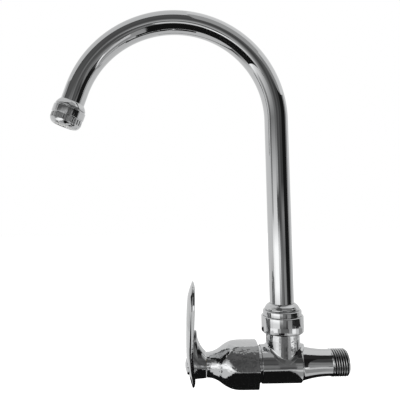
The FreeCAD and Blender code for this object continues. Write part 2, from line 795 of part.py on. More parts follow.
def cartridge_spindle(doc, s, at):
    """The spindle: a blade that drives the moving disc, a foot, a shaft with two O-ring grooves,
    the stop's ear, a circlip groove, and a stem with a toothed end, tapped for the screw."""
    body = doc.addObject("PartDesign::Body", "SpindleTurning")
    groove = s.spindle_ring_section * s.ring_groove_share
    groove_floor = s.spindle_radius + s.turning_gap - s.spindle_ring_section * 2 - s.fixed_gap * 2
    corners = [
        (0, at.foot_low),
        (s.disc_radius - s.turning_gap, at.foot_low),
        (s.disc_radius - s.turning_gap, at.foot_high),
        (s.spindle_radius, at.foot_high),
    ]
    for centre in at.spindle_rings:
        corners += [
            (s.spindle_radius, centre - groove / 2),
            (groove_floor, centre - groove / 2),
            (groove_floor, centre + groove / 2),
            (s.spindle_radius, centre + groove / 2),
        ]
    corners += [
        (s.spindle_radius, at.circlip_low - s.fixed_gap),
        (s.spindle_radius - s.circlip_groove, at.circlip_low - s.fixed_gap),
        (s.spindle_radius - s.circlip_groove, at.circlip_high + s.fixed_gap),
        (s.spindle_radius, at.circlip_high + s.fixed_gap),
        (s.spindle_radius, at.circlip_high + s.circlip_groove / 2),
        (s.stem_radius, at.circlip_high + s.circlip_groove),
        (s.stem_radius, at.spline_low),
        (0, at.spline_low),
    ]
    turn(body, "SpindleTurn", corners)
    blade_length = (s.disc_radius - s.turning_gap) * 2
    blade = box(doc, "BladeBar", blade_length, s.blade_width, at.foot_low - at.blade_foot,
                x=-blade_length / 2, y=-s.blade_width / 2, z=at.blade_foot)
    round_off = cylinder(doc, "BladeRound", s.disc_radius - s.turning_gap,
                         at.foot_low - at.blade_foot, at.blade_foot)
    rounded = doc.addObject("Part::Common", "Blade")
    rounded.Base = blade
    rounded.Tool = round_off
    ear = sector(doc, "StopEar", s.stem_radius, s.stop_radius, at.stop_floor + s.turning_gap,
                 s.stop_height - s.turning_gap, s.stop_ear_angle, start=-s.stop_ear_angle / 2)
    spline = spline_prism(doc, "SpindleSpline", s, size(0), at.spline_low, s.spline_length)
    blank = fuse(doc, "SpindleBlank", [body, rounded, ear, spline])
    hole_low = at.screw_end - s.screw_radius
    hole = cylinder(doc, "ScrewTapping", s.screw_radius + s.fixed_gap,
                    at.spline_high - hole_low + s.lever_gap, hole_low)
    item = cut(doc, "cartridge_spindle", blank, hole)
    on_valve_axis(item, s)
    return item


def spindle_o_rings(doc, s, at):
    mean = s.spindle_radius + s.turning_gap - s.fixed_gap - s.spindle_ring_section
    rings = [torus(doc, f"SpindleRing{number}", mean, s.spindle_ring_section, centre)
             for number, centre in enumerate(at.spindle_rings, start=1)]
    item = compound(doc, "spindle_o_rings", rings)
    on_valve_axis(item, s)
    return item


def spindle_circlip(doc, s, at):
    """An open spring ring in the spindle's groove, on the cartridge's end face."""
    inner = s.spindle_radius - s.circlip_groove + s.fixed_gap
    item = sector(doc, "spindle_circlip", inner, s.circlip_radius, at.circlip_low,
                  s.circlip_height, s.circlip_angle)
    on_valve_axis(item, s)
    return item


def friction_washer(doc, s, at):
    item = ring(doc, "friction_washer", s.spindle_radius + s.fixed_gap,
                s.disc_radius - s.turning_gap, at.foot_high,
                at.foot_high + s.friction_washer_height)
    on_valve_axis(item, s)
    return item


def cartridge_flange_seal(doc, s, at):
    inner = s.chamber_radius - s.flange_seal_height
    item = ring(doc, "cartridge_flange_seal", inner, s.valve_neck_radius - s.barrel_edge,
                at.valve_neck_end, at.flange_low)
    on_valve_axis(item, s)
    return item


def bonnet_o_ring(doc, s, at):
    section = (s.valve_neck_radius + s.fixed_gap - at.bonnet_ring_floor) / 2 - s.fixed_gap
    item = torus(doc, "bonnet_o_ring", at.bonnet_ring_floor + section + s.fixed_gap, section, 0)
    place(item, x=-s.spout_offset - at.bonnet_ring_centre, axis=Y_AXIS, angle=-90)
    return item


def spindle_bush(doc, s, at):
    """The plastic bush that guides the stem in the bonnet's small end."""
    item = ring(doc, "spindle_bush", s.stem_radius + s.turning_gap,
                at.bush_radius - s.fixed_gap, at.bonnet_cavity_end + s.lever_gap,
                at.bonnet_end - s.bonnet_face_gap)
    on_valve_axis(item, s)
    return item


# ---------------------------------------------------------------- lever

def tangent_bend(run, drop):
    """The radius of an arc that starts level and falls by drop over run."""
    return (run * run + drop * drop) / (drop * 2)


def paddle_outline(s):
    """The lever seen from the front: a round toe and a round top, joined by tangent sides."""
    top = s.lever_half_width
    toe = s.lever_toe_radius
    top_centre = s.lever_top - top
    toe_centre = toe - s.lever_toe
    lean = arcsine((top - toe) / (top_centre - toe_centre))
    upper = size(30)
    return [
        (top_centre - top * sine(lean), top * cosine(lean), top),
        (toe_centre - toe * sine(lean), toe * cosine(lean)),
        (toe_centre - toe, 0, toe),
        (toe_centre - toe * sine(lean), -toe * cosine(lean), toe),
        (top_centre - top * sine(lean), -top * cosine(lean)),
        (top_centre + top * sine(upper), -top * cosine(upper), top),
        (top_centre + top * sine(upper), top * cosine(upper), top),
    ]


def lever_leaf(doc, s, at):
    """The leaf: an outline in side view turned about an upright axis behind it, so that its front
    is crowned, and cut to a paddle with a round top and toe."""
    body = doc.addObject("PartDesign::Body", "LeverLeaf")
    crest = s.lever_crest_height
    shoulder = s.lever_shoulder_height
    front = s.lever_crown
    back = front - s.lever_thickness
    shoulder_front = front - s.lever_shoulder_setback
    shoulder_back = back - s.lever_shoulder_setback / 2
    tip_front = front - s.lever_tip_setback
    toe_front = front - s.lever_toe_setback
    tip_back = tip_front - s.lever_edge
    toe_back = toe_front - s.lever_edge
    side = sketch_on(body, "LeafSide", "XZ_Plane", [
        (crest, front, tangent_bend(shoulder - crest, s.lever_shoulder_setback)),
        (-s.lever_toe, toe_front, tangent_bend(crest + s.lever_toe, s.lever_toe_setback)),
        (-s.lever_toe, toe_back),
        (crest, back, -tangent_bend(crest + s.lever_toe, back - toe_back)),
        (shoulder, shoulder_back, -tangent_bend(shoulder - crest, back - shoulder_back)),
        (s.lever_top, tip_back, -s.lever_tip_back_bend),
        (s.lever_top, tip_front),
        (shoulder, shoulder_front, s.lever_tip_bend),
    ])
    bind(side, "AttachmentOffset.Base.y", at.lever_front - s.lever_crown)
    leaf = body.newObject("PartDesign::Revolution", "LeafCrown")
    leaf.Profile = side
    leaf.ReferenceAxis = (side, ["H_Axis"])
    leaf.Angle = 120
    leaf.Midplane = True
    body.Tip = leaf
    paddle = sketch_on(body, "LeafPaddle", "XY_Plane", paddle_outline(s))
    add_circle(paddle, 0, 0, s.lever_top * 2)
    through_all(body, "LeafTrim", paddle)
    return body


def lever_neck(doc, s, at):
    """The hub's flare: ellipses whose tops follow a hollow arc up to the leaf's back, and a last
    one inside the leaf."""
    bend = tangent_bend(s.web_top - s.hub_radius, s.web_depth)
    depths = [s.web_depth * share for share in (0, 0.3, 0.6, 0.85, 1.0)]
    depths.append(s.lever_depth - s.lever_thickness + s.lever_edge)
    sections = []
    for number, depth in enumerate(depths, start=1):
        inwards = s.web_depth - depth
        rise = root(inwards * (bend * 2 - inwards)) if inwards.value > 0 else size(0)
        crest = s.web_top - rise
        foot = -s.hub_radius - s.hub_flare * depth / s.web_depth
        section = doc.addObject("Part::Ellipse", f"NeckSection{number}")
        bind(section, "MajorRadius", (crest - foot) / 2 + s.fixed_gap)
        bind(section, "MinorRadius", s.hub_radius)
        place(section, x=(crest + foot) / 2, z=at.hub_end + depth)
        sections.append(section)
    neck = doc.addObject("Part::Loft", "LeverNeck")
    neck.Sections = sections
    neck.Solid = True
    return neck


def lever_handle(doc, s, at):
    """The lever: leaf and neck in one casting, with the toothed socket for the spindle, the hole
    and recess for the screw, and the round recess for the cap."""
    blank = fuse(doc, "LeverBlank", [lever_leaf(doc, s, at), lever_neck(doc, s, at)])
    socket = spline_prism(doc, "LeverSocket", s, s.fixed_gap, at.hub_end - s.lever_gap,
                          at.spline_high + s.lever_gap - at.hub_end + s.lever_gap)
    hole = cylinder(doc, "LeverScrewHole", s.screw_radius + s.screw_play,
                    at.cap_floor - at.spline_high, at.spline_high)
    recess = cylinder(doc, "LeverScrewRecess", s.screw_head_radius + s.screw_play,
                      s.lever_depth, at.screw_seat)
    cap_recess = cylinder(doc, "LeverCapRecess", s.cap_radius + s.fixed_gap,
                          s.lever_depth, at.cap_floor)
    item = cut(doc, "lever_handle", blank,
               fuse(doc, "LeverCuts", [socket, hole, recess, cap_recess]))
    on_valve_axis(item, s)
    return item


def index_cap(doc, s, at):
    """The round cap in the lever's front: domed, with a raised rim and a bare middle."""
    edge = s.cap_edge
    top = at.cap_floor + s.cap_thickness
    item = turned(doc, "index_cap", [
        (0, at.cap_floor),
        (s.cap_radius, at.cap_floor),
        (s.cap_radius, top - edge),
        (s.cap_radius - edge, top),
        (s.cap_radius - edge * 2, top),
        (s.cap_radius - edge * 3, top - edge),
        (0, top + s.cap_dome - edge, tangent_bend(s.cap_radius - edge * 3, s.cap_dome)),
    ])
    on_valve_axis(item, s)
    return item


def lever_screw(doc, s, at):
    """A slotted pan-head screw, from the recess in the lever into the spindle's end."""
    body = doc.addObject("PartDesign::Body", "lever_screw")
    head_low = at.screw_seat + s.screw_washer_height
    head_high = head_low + s.screw_head_height
    edge = s.screw_head_height / 4
    turn(body, "ScrewTurn", [
        (0, at.screw_end),
        (s.screw_radius - edge, at.screw_end),
        (s.screw_radius, at.screw_end + edge),
        (s.screw_radius, head_low),
        (s.screw_head_radius, head_low),
        (s.screw_head_radius, head_high - edge),
        (s.screw_head_radius - edge, head_high),
        (0, head_high),
    ])
    half = s.screw_slot / 2
    slot = sketch_on(body, "SlotOutline", "XZ_Plane", [
        (-half, head_high - s.screw_slot),
        (half, head_high - s.screw_slot),
        (half, head_high + s.screw_slot),
        (-half, head_high + s.screw_slot),
    ])
    through_all(body, "Slot", slot)
    on_valve_axis(body, s)
    return body


def lever_screw_washer(doc, s, at):
    item = ring(doc, "lever_screw_washer", s.screw_radius + s.screw_play,
                s.screw_head_radius, at.screw_seat, at.screw_seat + s.screw_washer_height)
    on_valve_axis(item, s)
    return item


# ---------------------------------------------------------------- spout and its swivel joint

def spout_tube(doc, s, at):
    """The bent tube: a straight leg, one wide arc and a short tail that ends in the collar."""
    body = doc.addObject("PartDesign::Body", "spout_tube")
    path = sketch_on(body, "TubePath", "XZ_Plane")
    tail = s.tail_length + s.collar_socket - s.fixed_gap
    arc_centre = FreeCAD.Vector(-s.arc_radius.value, s.arc_height.value, 0)
    turned_by = math.radians(s.arc_angle.value)
    foot = FreeCAD.Vector(0, at.tube_foot.value, 0)
    leg_top = FreeCAD.Vector(0, s.arc_height.value, 0)
    outwards = FreeCAD.Vector(math.cos(turned_by), math.sin(turned_by), 0)
    arc_end = arc_centre + outwards * s.arc_radius.value
    onwards = FreeCAD.Vector(-math.sin(turned_by), math.cos(turned_by), 0)
    leg = path.addGeometry(Part.LineSegment(foot, leg_top), False)
    circle = Part.Circle(arc_centre, Z_AXIS, s.arc_radius.value)
    arc = path.addGeometry(Part.ArcOfCircle(circle, 0, turned_by), False)
    end = path.addGeometry(Part.LineSegment(arc_end, arc_end + onwards * tail.value), False)
    path.addConstraint(Sketcher.Constraint("Coincident", leg, 2, arc, 1))
    path.addConstraint(Sketcher.Constraint("Coincident", arc, 2, end, 1))
    pin_down(path, leg, 1, 0, at.tube_foot)
    pin_down(path, leg, 2, 0, s.arc_height)
    pin_down(path, arc, 3, -s.arc_radius, s.arc_height)
    across = s.arc_radius * (cosine(s.arc_angle) - 1)
    up = s.arc_height + s.arc_radius * sine(s.arc_angle)
    sweep = path.addConstraint(Sketcher.Constraint("Angle", arc, turned_by))
    path.setExpression(f"Constraints[{sweep}]", s.arc_angle.text + " * 1 deg")
    pin_down(path, end, 2, across - tail * sine(s.arc_angle), up + tail * cosine(s.arc_angle))
    wall = sketch_on(body, "TubeWall", "XY_Plane", lift=at.tube_foot)
    add_circle(wall, 0, 0, s.tube_radius)
    add_circle(wall, 0, 0, s.tube_radius - s.tube_wall)
    tube = body.newObject("PartDesign::AdditivePipe", "Tube")
    tube.Profile = wall
    tube.Spine = path
    body.Tip = tube
    on_spout_axis(body, s)
    return body


def spout_spigot(doc, s, at):
    """The turned foot of the spout: a barrel with two O-ring grooves that turns in the tee's
    socket, a flange that the nut holds down, and a tongue brazed into the tube."""
    barrel = s.socket_radius - s.turning_gap
    groove = s.spout_ring_section * s.ring_groove_share
    groove_floor = s.socket_radius - s.spout_ring_section * 2 - s.fixed_gap * 2
    corners = [
        (s.spigot_bore_radius, at.spigot_foot),
        (barrel - s.barrel_edge, at.spigot_foot),
        (barrel, at.spigot_foot + s.barrel_edge),
    ]
    for centre in at.spout_rings:
        corners += [
            (barrel, centre - groove / 2),
            (groove_floor, centre - groove / 2),
            (groove_floor, centre + groove / 2),
            (barrel, centre + groove / 2),
        ]
    tongue = s.tube_radius - s.tube_wall - s.fixed_gap
    corners += [
        (barrel, at.flange_under),
        (s.spigot_flange_radius, at.flange_under),
        (s.spigot_flange_radius, at.tube_foot),
        (tongue, at.tube_foot),
        (tongue, at.tube_foot + s.spigot_tongue),
        (s.spigot_bore_radius, at.tube_foot + s.spigot_tongue),
    ]
    item = turned(doc, "spout_spigot", corners)
    on_spout_axis(item, s)
    return item


def spout_o_rings(doc, s, at):
    mean = s.socket_radius - s.fixed_gap - s.spout_ring_section
    rings = [torus(doc, f"SpoutRing{number}", mean, s.spout_ring_section, centre)
             for number, centre in enumerate(at.spout_rings, start=1)]
    item = compound(doc, "spout_o_rings", rings)
    on_spout_axis(item, s)
    return item


def lower_slip_washer(doc, s, at):
    item = ring(doc, "lower_slip_washer", s.socket_radius + s.turning_gap,
                s.spigot_flange_radius, at.branch_top, at.branch_top + s.slip_washer_height)
    on_spout_axis(item, s)
    return item


def upper_slip_washer(doc, s, at):
    low = at.tube_foot + s.end_play
    item = ring(doc, "upper_slip_washer", s.tube_radius + s.turning_gap,
                s.spigot_flange_radius, low, low + s.slip_washer_height)
    on_spout_axis(item, s)
    return item


def swivel_nut(doc, s, at):
    """The stepped nut: a plain skirt that screws on the branch, two narrower bands above it, and
    a cone up to the bush that centres the tube."""
    lip = s.nut_lip
    skirt_top = at.nut_foot + s.nut_skirt
    band_low = skirt_top + s.nut_groove
    band_high = band_low + s.nut_band_height
    collar_high = band_high + s.nut_collar_height
    item = turned(doc, "swivel_nut", [
        (s.branch_thread_radius + s.fixed_gap, at.nut_foot),
        (s.nut_radius - lip * 2, at.nut_foot),
        (s.nut_radius, at.nut_foot + lip * 2, lip * 2),
        (s.nut_radius, skirt_top - lip),
        (s.nut_radius - lip, skirt_top),
        (s.nut_band_radius - lip / 2, skirt_top),
        (s.nut_band_radius - lip / 2, band_low),
        (s.nut_band_radius, band_low),
        (s.nut_band_radius, band_high - lip),
        (s.nut_band_radius - lip, band_high),
        (s.nut_collar_radius, band_high),
        (s.nut_collar_radius, collar_high),
        (s.nut_top_radius, at.nut_top),
        (s.guide_bush_radius, at.nut_top),
        (s.guide_bush_radius, at.nut_top - s.guide_bush_height),
        (s.tube_radius + s.turning_gap * 4, at.nut_top - s.guide_bush_height),
        (s.tube_radius + s.turning_gap * 4, at.nut_shelf),
        (s.branch_thread_radius + s.fixed_gap, at.nut_shelf),
    ])
    on_spout_axis(item, s)
    return item


def spout_guide_bush(doc, s, at):
    """The plastic bush in the nut's mouth, with a sloping top."""
    inner = s.tube_radius + s.turning_gap
    outer = s.guide_bush_radius - s.fixed_gap
    low = at.nut_top - s.guide_bush_height + s.fixed_gap
    item = turned(doc, "spout_guide_bush", [
        (inner, low),
        (outer, low),
        (outer, at.nut_top),
        (inner + s.nut_lip / 2, at.nut_top + s.nut_lip),
        (inner, at.nut_top + s.nut_lip),
    ])
    on_spout_axis(item, s)
    return item


# ---------------------------------------------------------------- nozzle

def nozzle_collar(doc, s, at):
    """The cone brazed on the tube's end, with the thread for the aerator below it."""
    item = turned(doc, "nozzle_collar", [
        (s.tube_radius + s.fixed_gap, 0),
        (s.collar_lip_radius, 0),
        (s.collar_radius, s.collar_height - s.nozzle_gap),
        (s.collar_radius, s.collar_height),
        (s.nozzle_thread_radius, s.collar_height),
        (s.nozzle_thread_radius, at.stack_low - s.fixed_gap),
        (s.tube_radius - s.tube_wall, at.stack_low - s.fixed_gap),
        (s.tube_radius - s.tube_wall, s.collar_socket),
        (s.tube_radius + s.fixed_gap, s.collar_socket),
    ])
    on_nozzle_axis(item, s, at)
    return item


def flutes(body, name, count, around, radius, low, height):
    """Cuts a ring of equal half-round flutes along a band of a turned piece."""
    outline = sketch_on(body, name + "Outline", "XY_Plane", lift=low)
    add_circle(outline, around, 0, radius)
    flute = body.newObject("PartDesign::Pocket", name)
    flute.Profile = outline
    bind(flute, "Length", height)
    flute.Reversed = True
    body.Tip = flute
    pattern = body.newObject("PartDesign::PolarPattern", name + "Pattern")
    pattern.Originals = [flute]
    pattern.Axis = (outline, ["N_Axis"])
    pattern.Angle = 360
    bind(pattern, "Occurrences", count)
    body.Tip = pattern


def aerator_shell(doc, s, at):
    """The sleeve that screws on the collar: an upper band, a fluted grip ring and a rounded rim
    round the mouth."""
    body = doc.addObject("PartDesign::Body", "aerator_shell")
    low = s.collar_height + s.nozzle_gap
    band_high = low + s.shell_band
    grip_low = band_high + s.shell_groove
    grip_high = grip_low + s.shell_grip
    thread_bore = s.nozzle_thread_radius + s.fixed_gap
    lip = s.nozzle_gap
    turn(body, "ShellTurn", [
        (thread_bore, low),
        (s.shell_radius - lip, low),
        (s.shell_radius, low + lip),
        (s.shell_radius, band_high - lip),
        (s.shell_radius - lip, band_high),
        (s.shell_grip_radius - s.shell_groove, band_high),
        (s.shell_grip_radius - s.shell_groove, grip_low),
        (s.shell_grip_radius, grip_low),
        (s.shell_grip_radius, grip_high),
        (s.shell_mouth_radius, at.shell_end, s.shell_rim_bend),
        (s.shell_mouth_bore, at.shell_end),
        (s.shell_mouth_bore, at.straightener_step),
        (thread_bore, at.straightener_step),
    ])
    flutes(body, "GripFlute", s.shell_flutes, s.shell_grip_radius, s.shell_flute_radius,
           grip_low, s.shell_grip)
    flutes(body, "BandFlute", s.shell_flutes, s.shell_radius, s.shell_flute_radius / 2,
           low + lip, s.shell_band - lip * 2)
    on_nozzle_axis(body, s, at)
    return body


def aerator_washer(doc, s, at):
    item = ring(doc, "aerator_washer", s.tube_radius - s.tube_wall - s.washer_overlap,
                s.nozzle_thread_radius - s.turning_gap, at.stack_low, at.jet_low)
    on_nozzle_axis(item, s, at)
    return item


def jet_plate(doc, s, at):
    """The plastic plate that splits the flow: one ring of fine holes."""
    body = doc.addObject("PartDesign::Body", "jet_plate")
    turn(body, "PlateTurn", [
        (0, at.jet_low),
        (s.nozzle_thread_radius - s.turning_gap, at.jet_low),
        (s.nozzle_thread_radius - s.turning_gap, at.screen_low),
        (0, at.screen_low),
    ])
    flutes(body, "Jet", s.jet_count, s.jet_circle, s.jet_radius, at.jet_low, s.jet_plate_height)
    on_nozzle_axis(body, s, at)
    return body


def grid(doc, name, radius, rim, pitch, wall, low, height):
    """A round rim filled with two sets of crossing bars."""
    outer = cylinder(doc, name + "Outer", radius, height, low)
    inner = cylinder(doc, name + "Inner", radius - rim, height, low)
    frame = cut(doc, name + "Rim", outer, inner)
    bars = []
    reach = radius - rim / 2
    count = int(reach.value / pitch.value - 0.2)
    for step in range(-count, count + 1):
        half = root(reach * reach - pitch * pitch * step * step)
        bars.append(box(doc, f"{name}Long{step + count}", half * 2, wall, height,
                        x=-half, y=pitch * step - wall / 2, z=low))
        bars.append(box(doc, f"{name}Cross{step + count}", wall, half * 2, height,
                        x=pitch * step - wall / 2, y=-half, z=low))
    return fuse(doc, name, [frame] + bars)


def aerator_screen(doc, s, at):
    item = grid(doc, "aerator_screen", s.nozzle_thread_radius - s.turning_gap, s.screen_wire * 3,
                s.screen_pitch, s.screen_wire, at.screen_low, s.screen_height)
    on_nozzle_axis(item, s, at)
    return item


def flow_straightener(doc, s, at):
    """The plastic grid at the mouth: a wide flange that rests on the shell's step, and a narrower
    grid that fills the mouth."""
    flange = ring(doc, "StraightenerFlange", s.shell_mouth_bore - s.straightener_wall * 2,
                  s.nozzle_thread_radius - s.turning_gap, at.straightener_low,
                  at.straightener_step)
    mouth = grid(doc, "StraightenerGrid", s.shell_mouth_bore - s.turning_gap,
                 s.straightener_wall * 2, s.straightener_pitch, s.straightener_wall,
                 at.straightener_low, at.shell_end - s.mouth_inset - at.straightener_low)
    item = fuse(doc, "flow_straightener", [flange, mouth])
    on_nozzle_axis(item, s, at)
    return item


# ---------------------------------------------------------------- the whole tap

SUBPARTS = [
    tee_body, bonnet, bonnet_o_ring, spindle_bush, cartridge_body, cartridge_flange_seal,
    fixed_disc, seat_seal, moving_disc, cartridge_spindle, spindle_o_rings, spindle_circlip,
    friction_washer, lever_handle, lever_screw, lever_screw_washer, index_cap, swivel_nut,
    spout_guide_bush, lower_slip_washer, upper_slip_washer, spout_tube, spout_spigot,
    spout_o_rings, nozzle_collar, aerator_shell, aerator_washer, jet_plate, aerator_screen,
    flow_straightener,
]


def check(doc, subparts):
    """Stops where an object failed or a sub-part has no valid solid."""
    for item in doc.Objects:
        if "Invalid" in item.State or "Error" in item.State:
            raise RuntimeError(f"{item.Name} failed: {item.getStatusString()}")
    for item in subparts:
        shape = item.Shape
        if shape.isNull() or not shape.isValid() or not shape.Solids:
            raise RuntimeError(f"{item.Label} has no valid solid")


def main():
    doc = FreeCAD.newDocument("WallFaucet")
    sizes = Sizes(doc, DIMENSIONS)
    doc.recompute()
    places = Places(sizes)
    subparts = [build(doc, sizes, places) for build in SUBPARTS]
    doc.recompute()
    check(doc, subparts)
    os.makedirs("parts", exist_ok=True)
    for item in subparts:
        item.Shape.exportStep(os.path.join("parts", item.Label + ".step"))
        print(f"{item.Label}: {len(item.Shape.Solids)} solid(s), {item.Shape.Volume:.1f} mm3")


main()
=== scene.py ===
"""Looks of a wall faucet with a swivelling swan-neck spout and a quarter-turn lever.

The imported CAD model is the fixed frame. Every class below is one sub-assembly of the faucet: it
holds its sizes in metres, builds the meshes that stand for the visible castings, and dresses its
pieces in their finishes. The valve axis runs along X, the spout axis upwards, and the nozzle
axis points down and outwards at the end of the bent tube.
"""
from __future__ import annotations

import logging
import math
from dataclasses import dataclass
from enum import Enum

import bmesh
import bpy
from mathutils import Matrix, Vector

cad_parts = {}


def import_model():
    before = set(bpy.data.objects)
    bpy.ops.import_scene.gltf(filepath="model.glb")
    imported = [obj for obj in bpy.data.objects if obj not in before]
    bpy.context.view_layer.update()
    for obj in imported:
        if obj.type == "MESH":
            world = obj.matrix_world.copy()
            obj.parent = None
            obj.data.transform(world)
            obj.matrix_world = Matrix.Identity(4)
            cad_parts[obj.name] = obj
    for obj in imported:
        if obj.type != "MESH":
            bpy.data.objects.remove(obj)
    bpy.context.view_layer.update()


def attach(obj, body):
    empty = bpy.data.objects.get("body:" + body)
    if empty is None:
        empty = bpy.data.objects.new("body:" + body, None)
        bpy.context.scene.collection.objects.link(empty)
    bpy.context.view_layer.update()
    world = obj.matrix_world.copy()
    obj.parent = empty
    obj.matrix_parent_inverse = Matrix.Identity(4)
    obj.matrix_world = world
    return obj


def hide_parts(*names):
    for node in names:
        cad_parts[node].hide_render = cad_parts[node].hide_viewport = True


log = logging.getLogger("faucet")

MM = 0.001
QUARTER_ROUND = math.sqrt(0.5)
MERGE_DISTANCE = 0.002 * MM
EDGE_SEGMENTS = 3
NOISE_TROUGH, NOISE_CREST = 0.3, 0.7


# ---------------------------------------------------------------- shader helpers

class Graph:
    """A node tree that grows call by call from its output."""

    def __init__(self, tree: bpy.types.NodeTree, output: str) -> None:
        """Empties a node tree and gives it its output.

        Args:
            tree: the node tree.
            output: the output's type, without its ShaderNode prefix.
        """
        self.tree = tree
        self.tree.nodes.clear()
        self.output = self.node(output)

    def node(self, kind: str, inputs: dict | None = None, **options: object) -> bpy.types.Node:
        """Adds a node.

        Args:
            kind: the node's type, without its ShaderNode prefix.
            inputs: what its inputs take, by name or place: a value, or the socket that feeds it.
            options: the node's own properties.

        Returns:
            The new node.
        """
        made = self.tree.nodes.new("ShaderNode" + kind)
        for key, value in options.items():
            setattr(made, key, value)
        for key, value in (inputs or {}).items():
            if isinstance(value, bpy.types.NodeSocket):
                self.link(value, made.inputs[key])
            else:
                made.inputs[key].default_value = value
        return made

    def link(self, start: bpy.types.NodeSocket, end: bpy.types.NodeSocket) -> None:
        """Joins an output socket to an input socket."""
        self.tree.links.new(start, end)


class Shader(Graph):
    """A material and its node tree."""

    def __init__(self, name: str) -> None:
        """Starts an empty material.

        Args:
            name: the material's name.
        """
        self.material = bpy.data.materials.new(name)
        self.material.use_nodes = True
        super().__init__(self.material.node_tree, "OutputMaterial")

    def place(self, scale: tuple[float, float, float] = (1, 1, 1)) -> bpy.types.NodeSocket:
        """Gives the place on the object, stretched for a pattern.

        Args:
            scale: how often the pattern repeats along each axis.

        Returns:
            The socket of the stretched place.
        """
        coordinates = self.node("TexCoord")
        mapping = self.node("Mapping", {"Scale": scale, "Vector": coordinates.outputs["Object"]})
        return mapping.outputs["Vector"]

    def noise(self, scale: float, detail: float = 2.0,
              stretch: tuple[float, float, float] = (1, 1, 1)) -> bpy.types.NodeSocket:
        """Adds a noise pattern.

        Args:
            scale: features per metre.
            detail: finer octaves.
            stretch: relative frequency along each axis.

        Returns:
            The socket of the noise, about 0.5 on average.
        """
        made = self.node("TexNoise", {
            "Vector": self.place(stretch), "Scale": scale, "Detail": detail, "Roughness": 0.5,
        })
        return made.outputs["Fac"]

    def spread(self, value: bpy.types.NodeSocket, low: float, high: float) -> bpy.types.NodeSocket:
        """Spreads a noise's middle over a range.

        Args:
            value: the noise.
            low: what the noise's troughs become.
            high: what the noise's crests become.

        Returns:
            The socket of the spread value.
        """
        made = self.node("MapRange", {
            "Value": value, "From Min": NOISE_TROUGH, "From Max": NOISE_CREST,
            "To Min": low, "To Max": high,
        })
        return made.outputs["Result"]

    def bump(self, height: bpy.types.NodeSocket, strength: float, distance: float,
             under: bpy.types.NodeSocket | None = None) -> bpy.types.NodeSocket:
        """Adds a bump, on top of another one if asked.

        Args:
            height: the socket of the height pattern.
            strength: the share of the bump that shows.
            distance: how far the pattern's full height stands out, in metres.
            under: the normal of the bump below this one.

        Returns:
            The socket of the bumped normal.
        """
        made = self.node("Bump", {"Height": height, "Strength": strength, "Distance": distance})
        if under is not None:
            self.link(under, made.inputs["Normal"])
        return made.outputs["Normal"]

    def shade(self, factor: bpy.types.NodeSocket, plain: tuple[float, float, float],
              shaded: tuple[float, float, float], surface: bpy.types.Node) -> None:
        """Mixes two colours into a surface's colour.

        Args:
            factor: the share of the second colour.
            plain: the first colour.
            shaded: the second colour.
            surface: the surface shader that takes the mix.
        """
        ramp = self.node("ValToRGB", {"Fac": factor})
        for element, colour in zip(ramp.color_ramp.elements, (plain, shaded)):
            element.color = (*colour, 1.0)
        self.link(ramp.outputs["Color"], surface.inputs["Base Color"])


@dataclass(frozen=True)
class Finish:
    """A surface finish: its record slot and the plain values of its shader."""

    slot: str
    name: str
    colour: tuple[float, float, float]
    metallic: float
    roughness: tuple[float, float]

    def principled(self, shader: Shader) -> bpy.types.Node:
        """Adds the finish's surface shader with its plain values, joined to the output."""
        surface = shader.node("BsdfPrincipled", {
            "Base Color": (*self.colour, 1.0),
            "Metallic": self.metallic,
            "Roughness": sum(self.roughness) / 2,
        })
        shader.link(surface.outputs["BSDF"], shader.output.inputs["Surface"])
        return surface

    def material(self) -> bpy.types.Material:
        """Builds the finish's material, or gives the one that was built before."""
        known = bpy.data.materials.get(self.name)
        if known is not None:
            return known
        shader = Shader(self.name)
        self.detail(shader, self.principled(shader))
        return shader.material

    def detail(self, shader: Shader, surface: bpy.types.Node) -> None:
        """Adds what makes the finish look worn or worked. Each kind of finish has its own.

        Args:
            shader: the material that is being built.
            surface: its surface shader.
        """
        raise NotImplementedError


@dataclass(frozen=True)
class Chrome(Finish):
    """Bright chrome plate over polished brass, as wavy as the polishing left the metal."""

    wave: float = 0.0
    wave_scale: float = 60.0
    ripple: float = 0.0
    ripple_scale: float = 420.0
    pit: float = 0.0
    pit_scale: float = 900.0
    wipe_scale: float = 220.0

    def detail(self, shader: Shader, surface: bpy.types.Node) -> None:
        """Adds the wipe marks, the polisher's waves and the fine orange peel."""
        wipe = shader.spread(shader.noise(self.wipe_scale, 4.0), *self.roughness)
        shader.link(wipe, surface.inputs["Roughness"])
        waves = shader.bump(shader.noise(self.wave_scale, 1.0), 1.0, self.wave)
        ripples = shader.bump(shader.noise(self.ripple_scale, 1.0), 1.0, self.ripple, under=waves)
        peel = shader.bump(shader.noise(self.pit_scale, 2.0), 1.0, self.pit, under=ripples)
        shader.link(peel, surface.inputs["Normal"])


@dataclass(frozen=True)
class Threaded(Chrome):
    """Cast chrome that carries the wall thread, with painted shade darkening its valleys and the bore
    within them.
    """

    root: float = 9.4 * MM
    crest: float = 10.25 * MM
    thread_start: float = -12.6 * MM
    # colour of the painted shade in the thread's valleys and the bore
    valley_shade: tuple[float, float, float] = (0.03, 0.03, 0.028)

    def detail(self, shader: Shader, surface: bpy.types.Node) -> None:
        """Adds the chrome's waves, and painted shade that darkens the valleys between the thread's
        crests and the bore.
        """
        super().detail(shader, surface)
        across = shader.place((0.0, 1.0, 1.0))
        radius = shader.node("VectorMath", {"Vector": across}, operation="LENGTH")
        valley = shader.node("MapRange", {
            "Value": radius.outputs["Value"], "From Min": self.crest, "From Max": self.root,
        })
        split = shader.node("SeparateXYZ", {"Vector": shader.place()})
        threaded = shader.node("Math", {0: split.outputs["X"], 1: self.thread_start},
                               operation="GREATER_THAN")
        both = shader.node("Math", {0: valley.outputs["Result"], 1: threaded.outputs["Value"]},
                           operation="MULTIPLY")
        # painted shade: darker from the thread's crest down to its root, darkest inside the bore
        shader.shade(both.outputs["Value"], self.colour, self.valley_shade, surface)


